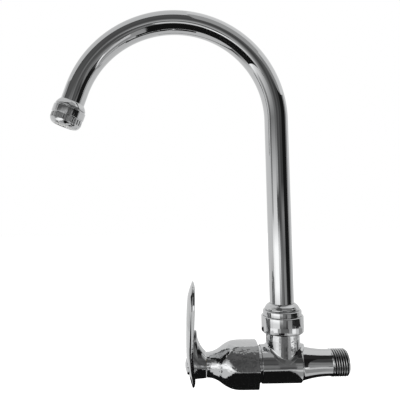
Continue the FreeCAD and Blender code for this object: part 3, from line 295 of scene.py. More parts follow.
@dataclass(frozen=True)
class Turned(Finish):
    """Bare metal with the fine rings of a lathe tool about an axis."""

    ring_scale: float = 2500.0
    ring_stretch: tuple[float, float, float] = (1.0, 0.05, 0.05)
    ring_share: float = 0.4
    ring_depth: float = 0.02 * MM
    tarnish_scale: float = 350.0
    tarnish_share: float = 0.5
    dark: tuple[float, float, float] = (0.3, 0.2, 0.08)

    def detail(self, shader: Shader, surface: bpy.types.Node) -> None:
        """Adds tarnish in the colour, streaked roughness and the tool's fine rings."""
        tarnish = shader.noise(self.tarnish_scale, 5.0)
        tarnished = shader.spread(tarnish, 0.0, self.tarnish_share)
        shader.shade(tarnished, self.colour, self.dark, surface)
        shader.link(shader.spread(tarnish, *self.roughness), surface.inputs["Roughness"])
        rings = shader.noise(self.ring_scale, 1.0, stretch=self.ring_stretch)
        turning = shader.bump(rings, self.ring_share, self.ring_depth)
        shader.link(turning, surface.inputs["Normal"])


@dataclass(frozen=True)
class Moulded(Finish):
    """Plastic, rubber or ceramic, with the faint grain of its mould."""

    grain_scale: float = 1500.0
    grain: float = 0.01 * MM
    grain_share: float = 0.5
    handling_scale: float = 180.0
    shade: float = 0.85

    def detail(self, shader: Shader, surface: bpy.types.Node) -> None:
        """Adds the shade of handling in the colour, and the mould's grain."""
        shaded = tuple(part * self.shade for part in self.colour)
        handling = shader.spread(shader.noise(self.handling_scale, 3.0), 0.0, 1.0)
        shader.shade(handling, self.colour, shaded, surface)
        grain = shader.noise(self.grain_scale, 3.0)
        shader.link(shader.spread(grain, *self.roughness), surface.inputs["Roughness"])
        skin = shader.bump(grain, self.grain_share, self.grain)
        shader.link(skin, surface.inputs["Normal"])


CHROME_COLOUR = (0.55, 0.556, 0.56)


class Look(Enum):
    """The finishes of the faucet."""

    DRAWN_CHROME = Chrome("polished_chrome", "drawn_chrome", CHROME_COLOUR, 1.0, (0.03, 0.07),
                          wave=0.03 * MM, wave_scale=45.0, pit=0.0004 * MM)
    TURNED_CHROME = Chrome("polished_chrome", "turned_chrome", CHROME_COLOUR, 1.0, (0.04, 0.09),
                           wave=0.02 * MM, wave_scale=110.0, pit=0.0008 * MM)
    CAST_CHROME = Chrome("polished_chrome", "cast_chrome", CHROME_COLOUR, 1.0, (0.04, 0.1),
                         wave=0.12 * MM, wave_scale=85.0, ripple=0.03 * MM, pit=0.0015 * MM)
    THREADED_CHROME = Threaded("polished_chrome", "threaded_chrome", CHROME_COLOUR, 1.0,
                               (0.04, 0.1), wave=0.12 * MM, wave_scale=85.0, ripple=0.02 * MM,
                               pit=0.0015 * MM)
    BELL_CHROME = Chrome("polished_chrome", "bell_chrome", CHROME_COLOUR, 1.0, (0.05, 0.12),
                         wave=0.4 * MM, wave_scale=90.0, ripple=0.2 * MM, pit=0.002 * MM)
    BRASS = Turned("turned_brass", "turned_brass", (0.72, 0.53, 0.26), 1.0, (0.22, 0.38))
    STEEL = Turned("stainless_steel", "stainless_steel", (0.6, 0.61, 0.62), 1.0, (0.22, 0.35),
                   dark=(0.4, 0.4, 0.4))
    RUBBER = Moulded("black_rubber", "black_rubber", (0.025, 0.025, 0.026), 0.0, (0.5, 0.7),
                     shade=1.6)
    PLASTIC = Moulded("white_plastic", "white_plastic", (0.82, 0.82, 0.8), 0.0, (0.35, 0.5))
    CERAMIC = Moulded("ceramic", "ceramic", (0.88, 0.88, 0.86), 0.0, (0.12, 0.2), shade=0.95)


# ---------------------------------------------------------------- pieces

class Body(Enum):
    """The faucet's bodies, as the joints move them."""

    FIXED = "body"
    LEVER = "lever"
    SPOUT = "spout"


class Outline:
    """Half of a turned piece's section, as (along, radius) corners joined by lines and arcs."""

    def __init__(self, along: float, radius: float) -> None:
        """Starts the outline.

        Args:
            along: the first corner's place along the axis.
            radius: its distance from the axis.
        """
        self.corners = [Vector((along, radius))]

    def line(self, along: float, radius: float) -> Outline:
        """Goes straight to a corner.

        Args:
            along: the corner's place along the axis.
            radius: its distance from the axis.

        Returns:
            The outline itself, for the next step.
        """
        self.corners.append(Vector((along, radius)))
        return self

    def arc(self, along: float, radius: float, bend: float, steps: int = 8) -> Outline:
        """Goes to a corner on an arc.

        Args:
            along: the corner's place along the axis.
            radius: its distance from the axis.
            bend: the arc's radius. It bulges to the left of the way there, or to the right
                where the bend is negative.
            steps: how many chords make the arc.

        Returns:
            The outline itself, for the next step.
        """
        start, end = self.corners[-1], Vector((along, radius))
        chord = end - start
        half = math.asin(min(1.0, chord.length / 2 / abs(bend)))
        left = Vector((-chord.y, chord.x)).normalized() * math.copysign(1.0, bend)
        centre = (start + end) / 2 - left * abs(bend) * math.cos(half)
        for step in range(1, steps + 1):
            turned = Matrix.Rotation(-math.copysign(2 * half * step / steps, bend), 2)
            self.corners.append(centre + turned @ (start - centre))
        return self

    def bead(self, along: float, radius: float, steps: int = 6) -> Outline:
        """Goes to a corner over a half-round bead or a quarter-round edge to its left.

        Args:
            along: the corner's place along the axis.
            radius: its distance from the axis.
            steps: how many chords make the bead.

        Returns:
            The outline itself, for the next step.
        """
        chord = Vector((along, radius)) - self.corners[-1]
        return self.arc(along, radius, chord.length * QUARTER_ROUND, steps)


@dataclass(frozen=True)
class Axis:
    """An axis that outlines are turned about."""

    origin: Vector
    along: Vector
    side: Vector

    def at(self, along: float, radius: float, angle: float = 0.0) -> Vector:
        """Gives a place by its distance along the axis, its radius and its angle."""
        turned = Matrix.Rotation(angle, 3, self.along) @ self.side
        return self.origin + self.along * along + turned * radius

    def split(self, place: Vector) -> tuple[float, Vector]:
        """Splits a place into its distance along the axis and its way out from the axis."""
        reach = place - self.origin
        along = reach.dot(self.along)
        return along, reach - self.along * along


def full_turn(steps: int) -> list[float]:
    """Gives the angles of a full turn in even steps."""
    return [math.tau * step / steps for step in range(steps)]


def add_object(name: str, data: bpy.types.ID) -> bpy.types.Object:
    """Puts a mesh, a lamp or a camera in the scene."""
    made = bpy.data.objects.new(name, data)
    bpy.context.scene.collection.objects.link(made)
    return made


def add_mesh(name: str, shape: bmesh.types.BMesh, material: bpy.types.Material) -> bpy.types.Object:
    """Puts a mesh that was being built in the scene.

    Args:
        name: the name of the mesh and its object.
        shape: the mesh, which this call frees.
        material: its material.

    Returns:
        The new object.
    """
    mesh = bpy.data.meshes.new(name)
    shape.to_mesh(mesh)
    shape.free()
    mesh.materials.append(material)
    return add_object(name, mesh)


class Piece:
    """A visible piece: a mesh that grows call by call and then goes into the scene."""

    def __init__(self, name: str) -> None:
        """Starts an empty mesh.

        Args:
            name: the piece's name.
        """
        self.name = name
        self.shape = bmesh.new()

    def turn(self, outline: Outline, axis: Axis, steps: int = 96) -> None:
        """Turns a closed outline about an axis.

        Args:
            outline: the outline, whose last corner joins its first.
            axis: what it is turned about.
            steps: how many faces go round.
        """
        verts, edges = self.chain([axis.at(*corner) for corner in outline.corners])
        bmesh.ops.spin(self.shape, geom=verts + edges, cent=axis.origin, axis=axis.along,
                       angle=math.tau, steps=steps, use_merge=True)

    def chain(self, places: list[Vector], closed: bool = True) -> tuple[list, list]:
        """Adds corners that edges join in a row.

        Args:
            places: the corners.
            closed: whether the last corner joins the first.

        Returns:
            The new corners and the new edges.
        """
        verts = [self.shape.verts.new(place) for place in places]
        following = verts[1:] + verts[:1] if closed else verts[1:]
        return verts, [self.shape.edges.new(pair) for pair in zip(verts, following)]

    def loft(self, rings: list[list[Vector]], closed: bool = False) -> None:
        """Joins closed loops with the same number of corners into a skin.

        Args:
            rings: the loops' corners, in their order.
            closed: whether the last loop joins the first, in place of closed ends.
        """
        loops = [self.chain(places)[1] for places in rings]
        following = loops[1:] + loops[:1] if closed else loops[1:]
        for loop, other in zip(loops, following):
            bmesh.ops.bridge_loops(self.shape, edges=loop + other)
        if not closed:
            for end in (loops[0], loops[-1]):
                bmesh.ops.contextual_create(self.shape, geom=end)

    def take(self, other: Piece) -> None:
        """Adds another piece's mesh, which this call uses up."""
        mesh = bpy.data.meshes.new(other.name)
        other.shape.to_mesh(mesh)
        other.shape.free()
        self.shape.from_mesh(mesh)
        bpy.data.meshes.remove(mesh)

    def merge(self) -> None:
        """Merges corners that lie in one place."""
        bmesh.ops.remove_doubles(self.shape, verts=self.shape.verts, dist=MERGE_DISTANCE)

    def finish(self, body: Body, look: Look, *nodes: str, round_edge: float = 0.0,
               crease: float = 30.0) -> bpy.types.Object:
        """Puts the finished piece in the scene.

        Args:
            body: the body that it rides on.
            look: its finish.
            nodes: the CAD nodes that it stands for.
            round_edge: the width of its rounded edges, in metres.
            crease: the least angle of an edge that is rounded, in degrees.

        Returns:
            The piece's object.
        """
        self.merge()
        bmesh.ops.recalc_face_normals(self.shape, faces=self.shape.faces)
        for face in self.shape.faces:
            face.smooth = True
        made = add_mesh(self.name, self.shape, look.value.material())
        if round_edge:
            bevel = made.modifiers.new("rounded_edges", "BEVEL")
            bevel.width = round_edge
            bevel.segments = EDGE_SEGMENTS
            bevel.limit_method = "ANGLE"
            bevel.angle_limit = math.radians(crease)
            bevel.harden_normals = True
        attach(made, body.value)
        if nodes:
            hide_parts(*nodes)
        log.info("built %s in %s for %s", self.name, look.value.name, ", ".join(nodes) or "detail")
        return made


def dress_nodes(look: Look, *names: str) -> None:
    """Gives CAD nodes their finish.

    Args:
        look: the finish.
        names: the nodes.
    """
    for name in names:
        for place in bpy.data.objects[name].material_slots:
            place.material = look.value.material()
        log.info("dressed %s in %s", name, look.value.name)


# ---------------------------------------------------------------- sub-assemblies

SPOUT_AXIS = Axis(Vector((-49.5, 0.0, 0.0)) * MM, Vector((0.0, 0.0, 1.0)), Vector((0.0, -1.0, 0.0)))
VALVE_AXIS = Axis(Vector((-49.5, 0.0, 0.0)) * MM, Vector((-1.0, 0.0, 0.0)), Vector((0.0, 0.0, 1.0)))


@dataclass(frozen=True)
class Tee:
    """The cast body: a barrel on the valve axis with the wall thread at its end, and the branch
    that carries the spout. Places along the valve axis are counted from the spout axis, positive
    towards the wall."""

    valve_end: float = -32.9 * MM
    valve_radius: float = 13.0 * MM
    ring_low: float = -22.1 * MM
    ring_high: float = -24.5 * MM
    ring_floor: float = 11.8 * MM
    relief_end: float = -20.75 * MM
    relief_radius: float = 13.3 * MM
    bead_radius: float = 14.0 * MM
    bead_start: float = -20.0 * MM
    bead_end: float = -19.3 * MM
    barrel_start: float = -18.4 * MM
    barrel_end: float = 12.3 * MM
    barrel_radius: float = 14.6 * MM
    edge: float = 0.5 * MM
    neck_end: float = 36.2 * MM
    neck_radius: float = 10.0 * MM
    neck_hollow: float = 80.0 * MM
    thread_radius: float = 10.4775 * MM
    thread_depth: float = 1.162 * MM
    thread_pitch: float = 1.814 * MM
    thread_rounding: float = 0.8
    thread_rows: int = 12
    thread_steps: int = 72
    thread_sink: float = 1.05
    thread_lead: float = 1.5
    run_in: float = 0.9 * MM
    run_in_lag: float = 0.5
    end_chamfer: float = 1.162 * MM
    wall_end: float = 49.5 * MM
    inlet_bore: float = 6.75 * MM
    chamber: float = 10.1 * MM
    seat: float = 9.0 * MM
    branch_radius: float = 13.2 * MM
    branch_height: float = 24.6 * MM
    branch_thread: float = 12.6 * MM
    branch_top: float = 34.2 * MM
    branch_bore: float = 7.5 * MM
    socket: float = 10.2 * MM
    socket_floor: float = 15.5 * MM
    blend: float = 3.0 * MM
    side_blend: float = 1.1 * MM
    blend_rows: int = 8
    root_depth: float = 1.6 * MM
    corners: int = 120

    def build(self) -> None:
        """Builds the casting as one piece: barrel, branch and thread."""
        piece = Piece("tee_casting")
        piece.turn(self.barrel_outline(), self.wall_axis(), steps=self.corners)
        piece.loft(self.branch_rings(), closed=True)
        self.wind_thread(piece)
        piece.finish(Body.FIXED, Look.THREADED_CHROME, "tee_body", round_edge=0.15 * MM, crease=40)

    def wall_axis(self) -> Axis:
        """Gives the valve axis, counted towards the wall."""
        return Axis(VALVE_AXIS.origin, -VALVE_AXIS.along, VALVE_AXIS.side)

    def barrel_outline(self) -> Outline:
        """Gives the barrel's section, from the valve end to the wall end and back in its bores."""
        root = self.thread_radius - self.thread_depth * self.thread_sink
        return (
            Outline(self.valve_end, self.chamber)
            .line(self.valve_end, self.valve_radius - self.edge)
            .line(self.valve_end + self.edge, self.valve_radius)
            .line(self.ring_high, self.valve_radius)
            .line(self.ring_high, self.ring_floor)
            .line(self.ring_low, self.ring_floor)
            .line(self.ring_low, self.valve_radius)
            .line(self.relief_end, self.valve_radius)
            .line(self.relief_end, self.relief_radius)
            .line(self.bead_start, self.relief_radius)
            .line(self.bead_start, self.bead_radius)
            .line(self.bead_end, self.bead_radius)
            .line(self.bead_end, self.relief_radius)
            .line(self.barrel_start, self.relief_radius)
            .line(self.barrel_start, self.barrel_radius - self.edge)
            .bead(self.barrel_start + self.edge, self.barrel_radius)
            .line(self.barrel_end - self.edge, self.barrel_radius)
            .bead(self.barrel_end, self.barrel_radius - self.edge)
            .line(self.barrel_end + self.edge * 2, self.barrel_radius - self.edge * 3)
            .arc(self.neck_end, self.neck_radius, -self.neck_hollow, steps=24)
            .line(self.neck_end, root)
            .line(self.wall_end, root)
            .line(self.wall_end, self.inlet_bore)
            .line(self.seat, self.inlet_bore)
            .line(self.seat, self.chamber)
        )

    def branch_rings(self) -> list[list[Vector]]:
        """Gives the branch's rings: up the bore and the socket, down outside over the thread, out
        into the barrel over a hollow blend, and back inside the barrel's wall."""
        inside = [
            (self.branch_bore, self.barrel_radius - self.root_depth),
            (self.branch_bore, self.socket_floor),
            (self.socket, self.socket_floor),
            (self.socket, self.branch_top),
            (self.branch_thread, self.branch_top),
            (self.branch_thread, self.branch_height),
            (self.branch_radius, self.branch_height),
        ]
        rings = [
            [SPOUT_AXIS.at(height, radius, angle) for angle in full_turn(self.corners)]
            for radius, height in inside
        ]
        for row in range(self.blend_rows + 1):
            rings.append(self.blend_ring(math.radians(90) * row / self.blend_rows))
        rooted = [place - SPOUT_AXIS.along * self.root_depth for place in rings[-1]]
        return rings + [rooted]

    def blend_ring(self, turn: float) -> list[Vector]:
        """Gives one ring of the blend.

        Args:
            turn: how far round the hollow it lies, from the branch, 0, to the barrel, 90 degrees.

        Returns:
            Its corners.
        """
        ring = []
        for angle in full_turn(self.corners):
            blend = self.side_blend + (self.blend - self.side_blend) * math.sin(angle) ** 2
            radius = self.branch_radius + blend * (1 - math.cos(turn))
            place = SPOUT_AXIS.at(0.0, radius, angle)
            saddle = math.sqrt(max(0.0, self.barrel_radius ** 2 - place.y ** 2))
            ring.append(place + SPOUT_AXIS.along * (saddle + blend * (1 - math.sin(turn))))
        return ring

    def wind_thread(self, piece: Piece) -> None:
        """Winds the rounded thread, trims it between the neck and the wall end, and fits its ends.

        Args:
            piece: the casting.
        """
        axis = self.wall_axis()
        turns = math.ceil((self.wall_end - self.neck_end) / self.thread_pitch) + 2
        start = self.neck_end - self.thread_pitch * self.thread_lead
        flank = []
        for row in range(self.thread_rows + 1):
            wave = math.cos(math.tau * row / self.thread_rows)
            wave = math.copysign(abs(wave) ** self.thread_rounding, wave)
            radius = self.thread_radius - self.thread_depth * (1 - wave) / 2
            flank.append(axis.at(start + self.thread_pitch * row / self.thread_rows, radius))
        helix = Piece("thread")
        verts, edges = helix.chain(flank, closed=False)
        bmesh.ops.spin(helix.shape, geom=verts + edges, cent=axis.origin, axis=axis.along,
                       dvec=axis.along * self.thread_pitch / self.thread_steps,
                       angle=math.tau * turns, steps=self.thread_steps * turns)
        helix.merge()
        for along, outwards in ((self.neck_end, -axis.along), (self.wall_end, axis.along)):
            everything = helix.shape.verts[:] + helix.shape.edges[:] + helix.shape.faces[:]
            bmesh.ops.bisect_plane(helix.shape, geom=everything, plane_co=axis.at(along, 0.0),
                                   plane_no=outwards, clear_outer=True)
        for vert in helix.shape.verts:
            along, outwards = axis.split(vert.co)
            radius = self.thread_reach(along, outwards.length)
            vert.co = axis.origin + axis.along * along + outwards.normalized() * radius
        piece.take(helix)

    def thread_reach(self, along: float, radius: float) -> float:
        """Gives the radius of a place on the thread, once its run-in and chamfer are cut.

        Args:
            along: the place along the valve axis.
            radius: its radius on the full thread.
        """
        start = along - self.neck_end
        crest = min(self.thread_radius, self.neck_radius + start)
        share = min(1.0, max(0.0, start / self.run_in - self.run_in_lag))
        root = self.thread_radius - self.thread_depth
        chamfered = root + max(0.0, self.wall_end - along) * self.thread_depth / self.end_chamfer
        return min(crest + (min(radius, crest) - crest) * share, chamfered)


@dataclass(frozen=True)
class Bonnet:
    """The bell nut that closes the valve end, and its seal and bush."""

    face: float = 20.9 * MM
    end: float = 61.4 * MM
    foot_radius: float = 9.5 * MM
    flats: float = 34.7 * MM
    sides: int = 6
    flat_bend: float = 60.0 * MM
    border: float = 0.7 * MM
    hollow: float = 18.4 * MM
    brow: float = 31.3 * MM
    slope: float = math.radians(38)
    chamfer_drop: float = 0.8 * MM
    chamfer_length: float = 0.5 * MM
    bore: float = 13.1 * MM
    wall: float = 3.2 * MM
    bush_radius: float = 6.6 * MM
    edge: float = 0.5 * MM

    def build(self) -> None:
        """Builds the bell and dresses what it holds."""
        waist = self.end - self.hollow * math.sin(self.slope)
        waist_radius = self.foot_radius + self.hollow * (1 - math.cos(self.slope))
        brow = waist - self.brow * math.sin(self.slope)
        corner_radius = waist_radius + self.brow * (1 - math.cos(self.slope))
        outline = (
            Outline(self.face, self.bore)
            .line(self.face, corner_radius - self.chamfer_drop)
            .line(self.face + self.chamfer_length, corner_radius)
            .line(brow, corner_radius)
            .arc(waist, waist_radius, self.brow, steps=30)
            .arc(self.end - self.edge, self.foot_radius, -self.hollow, steps=12)
            .bead(self.end, self.foot_radius - self.edge)
            .line(self.end, self.bush_radius)
            .line(waist, self.bush_radius)
            .line(waist, waist_radius - self.wall)
            .line(brow, self.bore)
        )
        piece = Piece("bell_nut")
        piece.turn(outline, VALVE_AXIS, steps=180)
        self.crown_flats(piece, waist_radius)
        piece.finish(Body.FIXED, Look.BELL_CHROME, "bonnet", round_edge=0.4 * MM, crease=40)
        dress_nodes(Look.RUBBER, "bonnet_o_ring")
        dress_nodes(Look.PLASTIC, "spindle_bush")

    def crown_flats(self, piece: Piece, least: float) -> None:
        """Presses the crowned flats into the bell's wide end, their borders rubbed soft.

        Args:
            piece: the bell.
            least: the least radius that is pressed.
        """
        centre = self.flats / 2 - self.flat_bend
        sector = math.tau / self.sides
        for vert in piece.shape.verts:
            _along, outwards = VALVE_AXIS.split(vert.co)
            if outwards.length < least:
                continue
            turn = math.atan2(outwards.y, outwards.z)
            turn -= sector * round(turn / sector)
            bend = self.flat_bend ** 2 - (centre * math.sin(turn)) ** 2
            excess = outwards.length - centre * math.cos(turn) - math.sqrt(bend)
            press = (excess + math.hypot(excess, self.border)) / 2
            vert.co -= outwards.normalized() * press


@dataclass(frozen=True)
class Cartridge:
    """The quarter-turn ceramic cartridge, all of it inside the tee and the bell nut."""

    def build(self) -> None:
        """Dresses the cartridge's parts."""
        dress_nodes(Look.BRASS, "cartridge_body", "cartridge_spindle")
        dress_nodes(Look.CERAMIC, "fixed_disc", "moving_disc")
        dress_nodes(Look.RUBBER, "cartridge_flange_seal", "seat_seal", "spindle_o_rings")
        dress_nodes(Look.PLASTIC, "friction_washer")
        dress_nodes(Look.STEEL, "spindle_circlip")


@dataclass(frozen=True)
class Lever:
    """The leaf-shaped lever with its hub, the cap in its front, and the screw behind the cap."""

    front: float = 77.2 * MM
    hub_end: float = 61.55 * MM
    hub_radius: float = 9.9 * MM
    crown: float = 27.0 * MM
    thickness: float = 4.0 * MM
    edge: float = 0.6 * MM
    crest: float = 12.0 * MM
    shoulder: float = 50.0 * MM
    shoulder_setback: float = 1.2 * MM
    top: float = 65.7 * MM
    tip_setback: float = 5.7 * MM
    tip_curl: float = 1.6
    toe: float = 17.2 * MM
    toe_setback: float = 4.8 * MM
    half_width: float = 13.5 * MM
    toe_radius: float = 10.2 * MM
    web_top: float = 27.0 * MM
    web_depth: float = 7.3 * MM
    hub_flare: float = 0.7 * MM
    corners: int = 72
    bevel: float = math.radians(21)
    nose_round: float = 0.3
    heel_round: float = 0.45
    face_steps: int = 16
    side_rows: int = 14
    end_turns: tuple[float, ...] = (4, 12, 22, 34, 48, 64, 80)
    web_rows: int = 9
    hub_edge: float = 0.25 * MM
    cap_radius: float = 7.25 * MM
    cap_proud: float = 1.0 * MM
    cap_depth: float = 2.6 * MM
    cap_foot: float = 1.05 * MM

    def front_setback(self, height: float) -> float:
        """Gives how far the leaf's middle line lies behind the crest at a height."""
        if height < self.crest:
            return self.toe_setback * ((self.crest - height) / (self.crest + self.toe)) ** 2
        if height < self.shoulder:
            rise = (height - self.crest) / (self.shoulder - self.crest)
            return self.shoulder_setback * rise ** 2
        rise = (height - self.shoulder) / (self.top - self.shoulder)
        return self.shoulder_setback + (self.tip_setback - self.shoulder_setback) * rise ** self.tip_curl

    def thickness_at(self, height: float) -> float:
        """Gives the leaf's thickness at a height: full at the crest, thin at tip and toe."""
        reach = self.crest + self.toe if height < self.crest else self.top - self.crest
        share = min(1.0, abs(height - self.crest) / reach)
        return self.edge + (self.thickness - self.edge) * (1 - share ** 4)

    def half_width_at(self, height: float) -> float:
        """Gives half the leaf's width at a height: round ends joined by nearly straight sides."""
        top_centre = self.top - self.half_width
        toe_centre = self.toe_radius - self.toe
        if height > top_centre:
            return math.sqrt(max(0.0, self.half_width ** 2 - (height - top_centre) ** 2))
        if height < toe_centre:
            return math.sqrt(max(0.0, self.toe_radius ** 2 - (height - toe_centre) ** 2))
        rise = (height - toe_centre) / (top_centre - toe_centre)
        return self.toe_radius + (self.half_width - self.toe_radius) * rise

    def leaf_section(self, height: float) -> list[Vector]:
        """Gives the leaf's level section: a crowned strip whose rims are bevelled at the back.

        Args:
            height: the section's height over the valve axis.

        Returns:
            Its corners.
        """
        thick = self.thickness_at(height) / 2
        rim = self.rim_outline(thick, self.half_width_at(height)).corners
        back, front = rim[0].y, rim[-1].y
        shares = [1 - 2 * step / self.face_steps for step in range(1, self.face_steps)]
        corners = [(corner.x, corner.y) for corner in rim]
        corners += [(thick, front * share) for share in shares]
        corners += [(corner.x, -corner.y) for corner in reversed(rim)]
        corners += [(-thick, -back * share) for share in shares]
        places = []
        for through, across in corners:
            crown = self.crown - thick + through
            bow = crown - math.sqrt(crown ** 2 - across ** 2)
            depth = self.front - self.front_setback(height) - bow - thick + through
            places.append(VALVE_AXIS.origin + Vector((-depth, across, height)))
        return places

    def rim_outline(self, thick: float, half: float) -> Outline:
        """Gives a rim of the leaf's level section, as (through, across) corners.

        Args:
            thick: half the leaf's thickness.
            half: half the leaf's width.

        Returns:
            The rim, from the back face's edge round the bevel and the nose to the front face.
        """
        along = Vector((math.cos(self.bevel), math.sin(self.bevel)))
        nose, heel = self.nose_round * thick, self.heel_round * thick
        reach = nose * math.tan(math.radians(45) + self.bevel / 2)
        tip = Vector((thick, half - nose + reach))
        root = tip - along * (2 * thick / along.x)
        short = heel * math.tan(math.radians(45) - self.bevel / 2)
        heel_end, nose_start = root + along * short, tip - along * reach
        return (
            Outline(-thick, root.y - short)
            .arc(heel_end.x, heel_end.y, heel, steps=4)
            .line(nose_start.x, nose_start.y)
            .arc(thick, tip.y - reach, nose, steps=8)
        )

    def leaf_heights(self) -> list[float]:
        """Gives the heights of the leaf's sections, closest together at its round ends."""
        top_centre = self.top - self.half_width
        toe_centre = self.toe_radius - self.toe
        turns = [math.radians(angle) for angle in self.end_turns]
        toe = [toe_centre - self.toe_radius * math.cos(turn) for turn in turns]
        top = [top_centre + self.half_width * math.cos(turn) for turn in reversed(turns)]
        rise = (top_centre - toe_centre) / self.side_rows
        middle = [toe_centre + rise * row for row in range(1, self.side_rows)]
        return toe + middle + top

    def neck_section(self, depth: float) -> list[Vector]:
        """Gives the hub's upright section at a depth from its end, drawn up into a web."""
        bend = ((self.web_top - self.hub_radius) ** 2 + self.web_depth ** 2) / (self.web_depth * 2)
        inwards = max(0.0, self.web_depth - depth)
        crest = self.web_top - math.sqrt(inwards * max(0.0, bend * 2 - inwards))
        flare = self.hub_flare * depth / self.web_depth
        places = []
        for angle in full_turn(self.corners):
            across = self.hub_radius * math.cos(angle)
            height = self.hub_radius * math.sin(angle)
            drawn = crest - self.hub_radius if height > 0.0 else flare
            height += drawn * math.sin(angle) ** 3
            places.append(VALVE_AXIS.origin + Vector((-self.hub_end - depth, across, height)))
        return places

    def build(self) -> None:
        """Builds the lever and its cap, and dresses the screw behind it."""
        lever = Piece("lever_leaf")
        lever.loft([self.leaf_section(height) for height in self.leaf_heights()])
        inside = self.front - self.hub_end - self.thickness + self.edge
        web = [self.web_depth * row / self.web_rows for row in range(1, self.web_rows + 1)]
        depths = [0.0, self.hub_edge, *web, inside]
        lever.loft([self.neck_section(depth) for depth in depths])
        lever.finish(Body.LEVER, Look.CAST_CHROME, "lever_handle", round_edge=0.3 * MM, crease=60)
        self.build_cap()
        dress_nodes(Look.STEEL, "lever_screw", "lever_screw_washer")

    def build_cap(self) -> None:
        """Builds the cap, a low bare dome."""
        foot = self.front - self.cap_foot
        rise = self.cap_foot + self.cap_proud
        dome = (self.cap_radius ** 2 + rise ** 2) / rise / 2
        outline = (
            Outline(self.front - self.cap_depth, 0.0)
            .line(self.front - self.cap_depth, self.cap_radius)
            .line(foot, self.cap_radius)
            .arc(self.front + self.cap_proud, 0.0, dome, steps=16)
        )
        cap = Piece("index_button")
        cap.turn(outline, VALVE_AXIS, steps=64)
        cap.finish(Body.LEVER, Look.TURNED_CHROME, "index_cap", round_edge=0.12 * MM, crease=25)


@dataclass(frozen=True)
class SwivelJoint:
    """The stepped nut, and the bush and slip washers that the spout turns in."""

    foot: float = 24.8 * MM
    radius: float = 16.65 * MM
    skirt: float = 13.2 * MM
    foot_round: float = 1.6 * MM
    groove: float = 0.6 * MM
    band_radius: float = 15.2 * MM
    band_height: float = 3.6 * MM
    collar_radius: float = 13.5 * MM
    collar_height: float = 2.3 * MM
    cone_height: float = 1.9 * MM
    top_radius: float = 11.5 * MM
    lip: float = 0.8 * MM
    thread_bore: float = 12.63 * MM
    tube_bore: float = 9.75 * MM
    mouth_bore: float = 9.6 * MM
    mouth_radius: float = 9.98 * MM
    shelf: float = 34.4 * MM
    bush_radius: float = 10.9 * MM
    bush_height: float = 4.0 * MM
    cover: float = 0.15 * MM

    def build(self) -> None:
        """Builds the nut and dresses what it holds."""
        skirt_top = self.foot + self.skirt
        band_low = skirt_top + self.groove
        band_top = band_low + self.band_height
        collar_top = band_top + self.collar_height
        top = collar_top + self.cone_height
        mouth = top + self.lip
        outline = (
            Outline(self.foot, self.thread_bore)
            .line(self.foot, self.radius - self.foot_round)
            .bead(self.foot + self.foot_round, self.radius)
            .line(skirt_top - self.lip, self.radius)
            .bead(skirt_top, self.radius - self.lip)
            .line(skirt_top, self.band_radius - self.lip / 2)
            .line(band_low, self.band_radius - self.lip / 2)
            .line(band_low, self.band_radius)
            .line(band_top - self.lip, self.band_radius)
            .bead(band_top, self.band_radius - self.lip)
            .line(band_top, self.collar_radius - self.lip / 3)
            .bead(collar_top - self.lip / 2, self.collar_radius)
            .line(collar_top, self.collar_radius - self.lip / 2)
            .arc(top, self.top_radius, self.band_height)
            .line(mouth + self.cover, self.mouth_radius + self.cover)
            .line(mouth + self.cover, self.mouth_bore)
            .line(mouth + self.cover / 4, self.mouth_bore)
            .line(mouth + self.cover / 4, self.mouth_radius + self.cover / 4)
            .line(top + self.cover / 4, self.bush_radius)
            .line(top - self.bush_height, self.bush_radius)
            .line(top - self.bush_height, self.tube_bore)
            .line(self.shelf, self.tube_bore)
            .line(self.shelf, self.thread_bore)
        )
        nut = Piece("stepped_nut")
        nut.turn(outline, SPOUT_AXIS, steps=128)
        nut.finish(Body.FIXED, Look.TURNED_CHROME, "swivel_nut", round_edge=0.2 * MM, crease=35)
        dress_nodes(Look.PLASTIC, "spout_guide_bush", "lower_slip_washer", "upper_slip_washer")


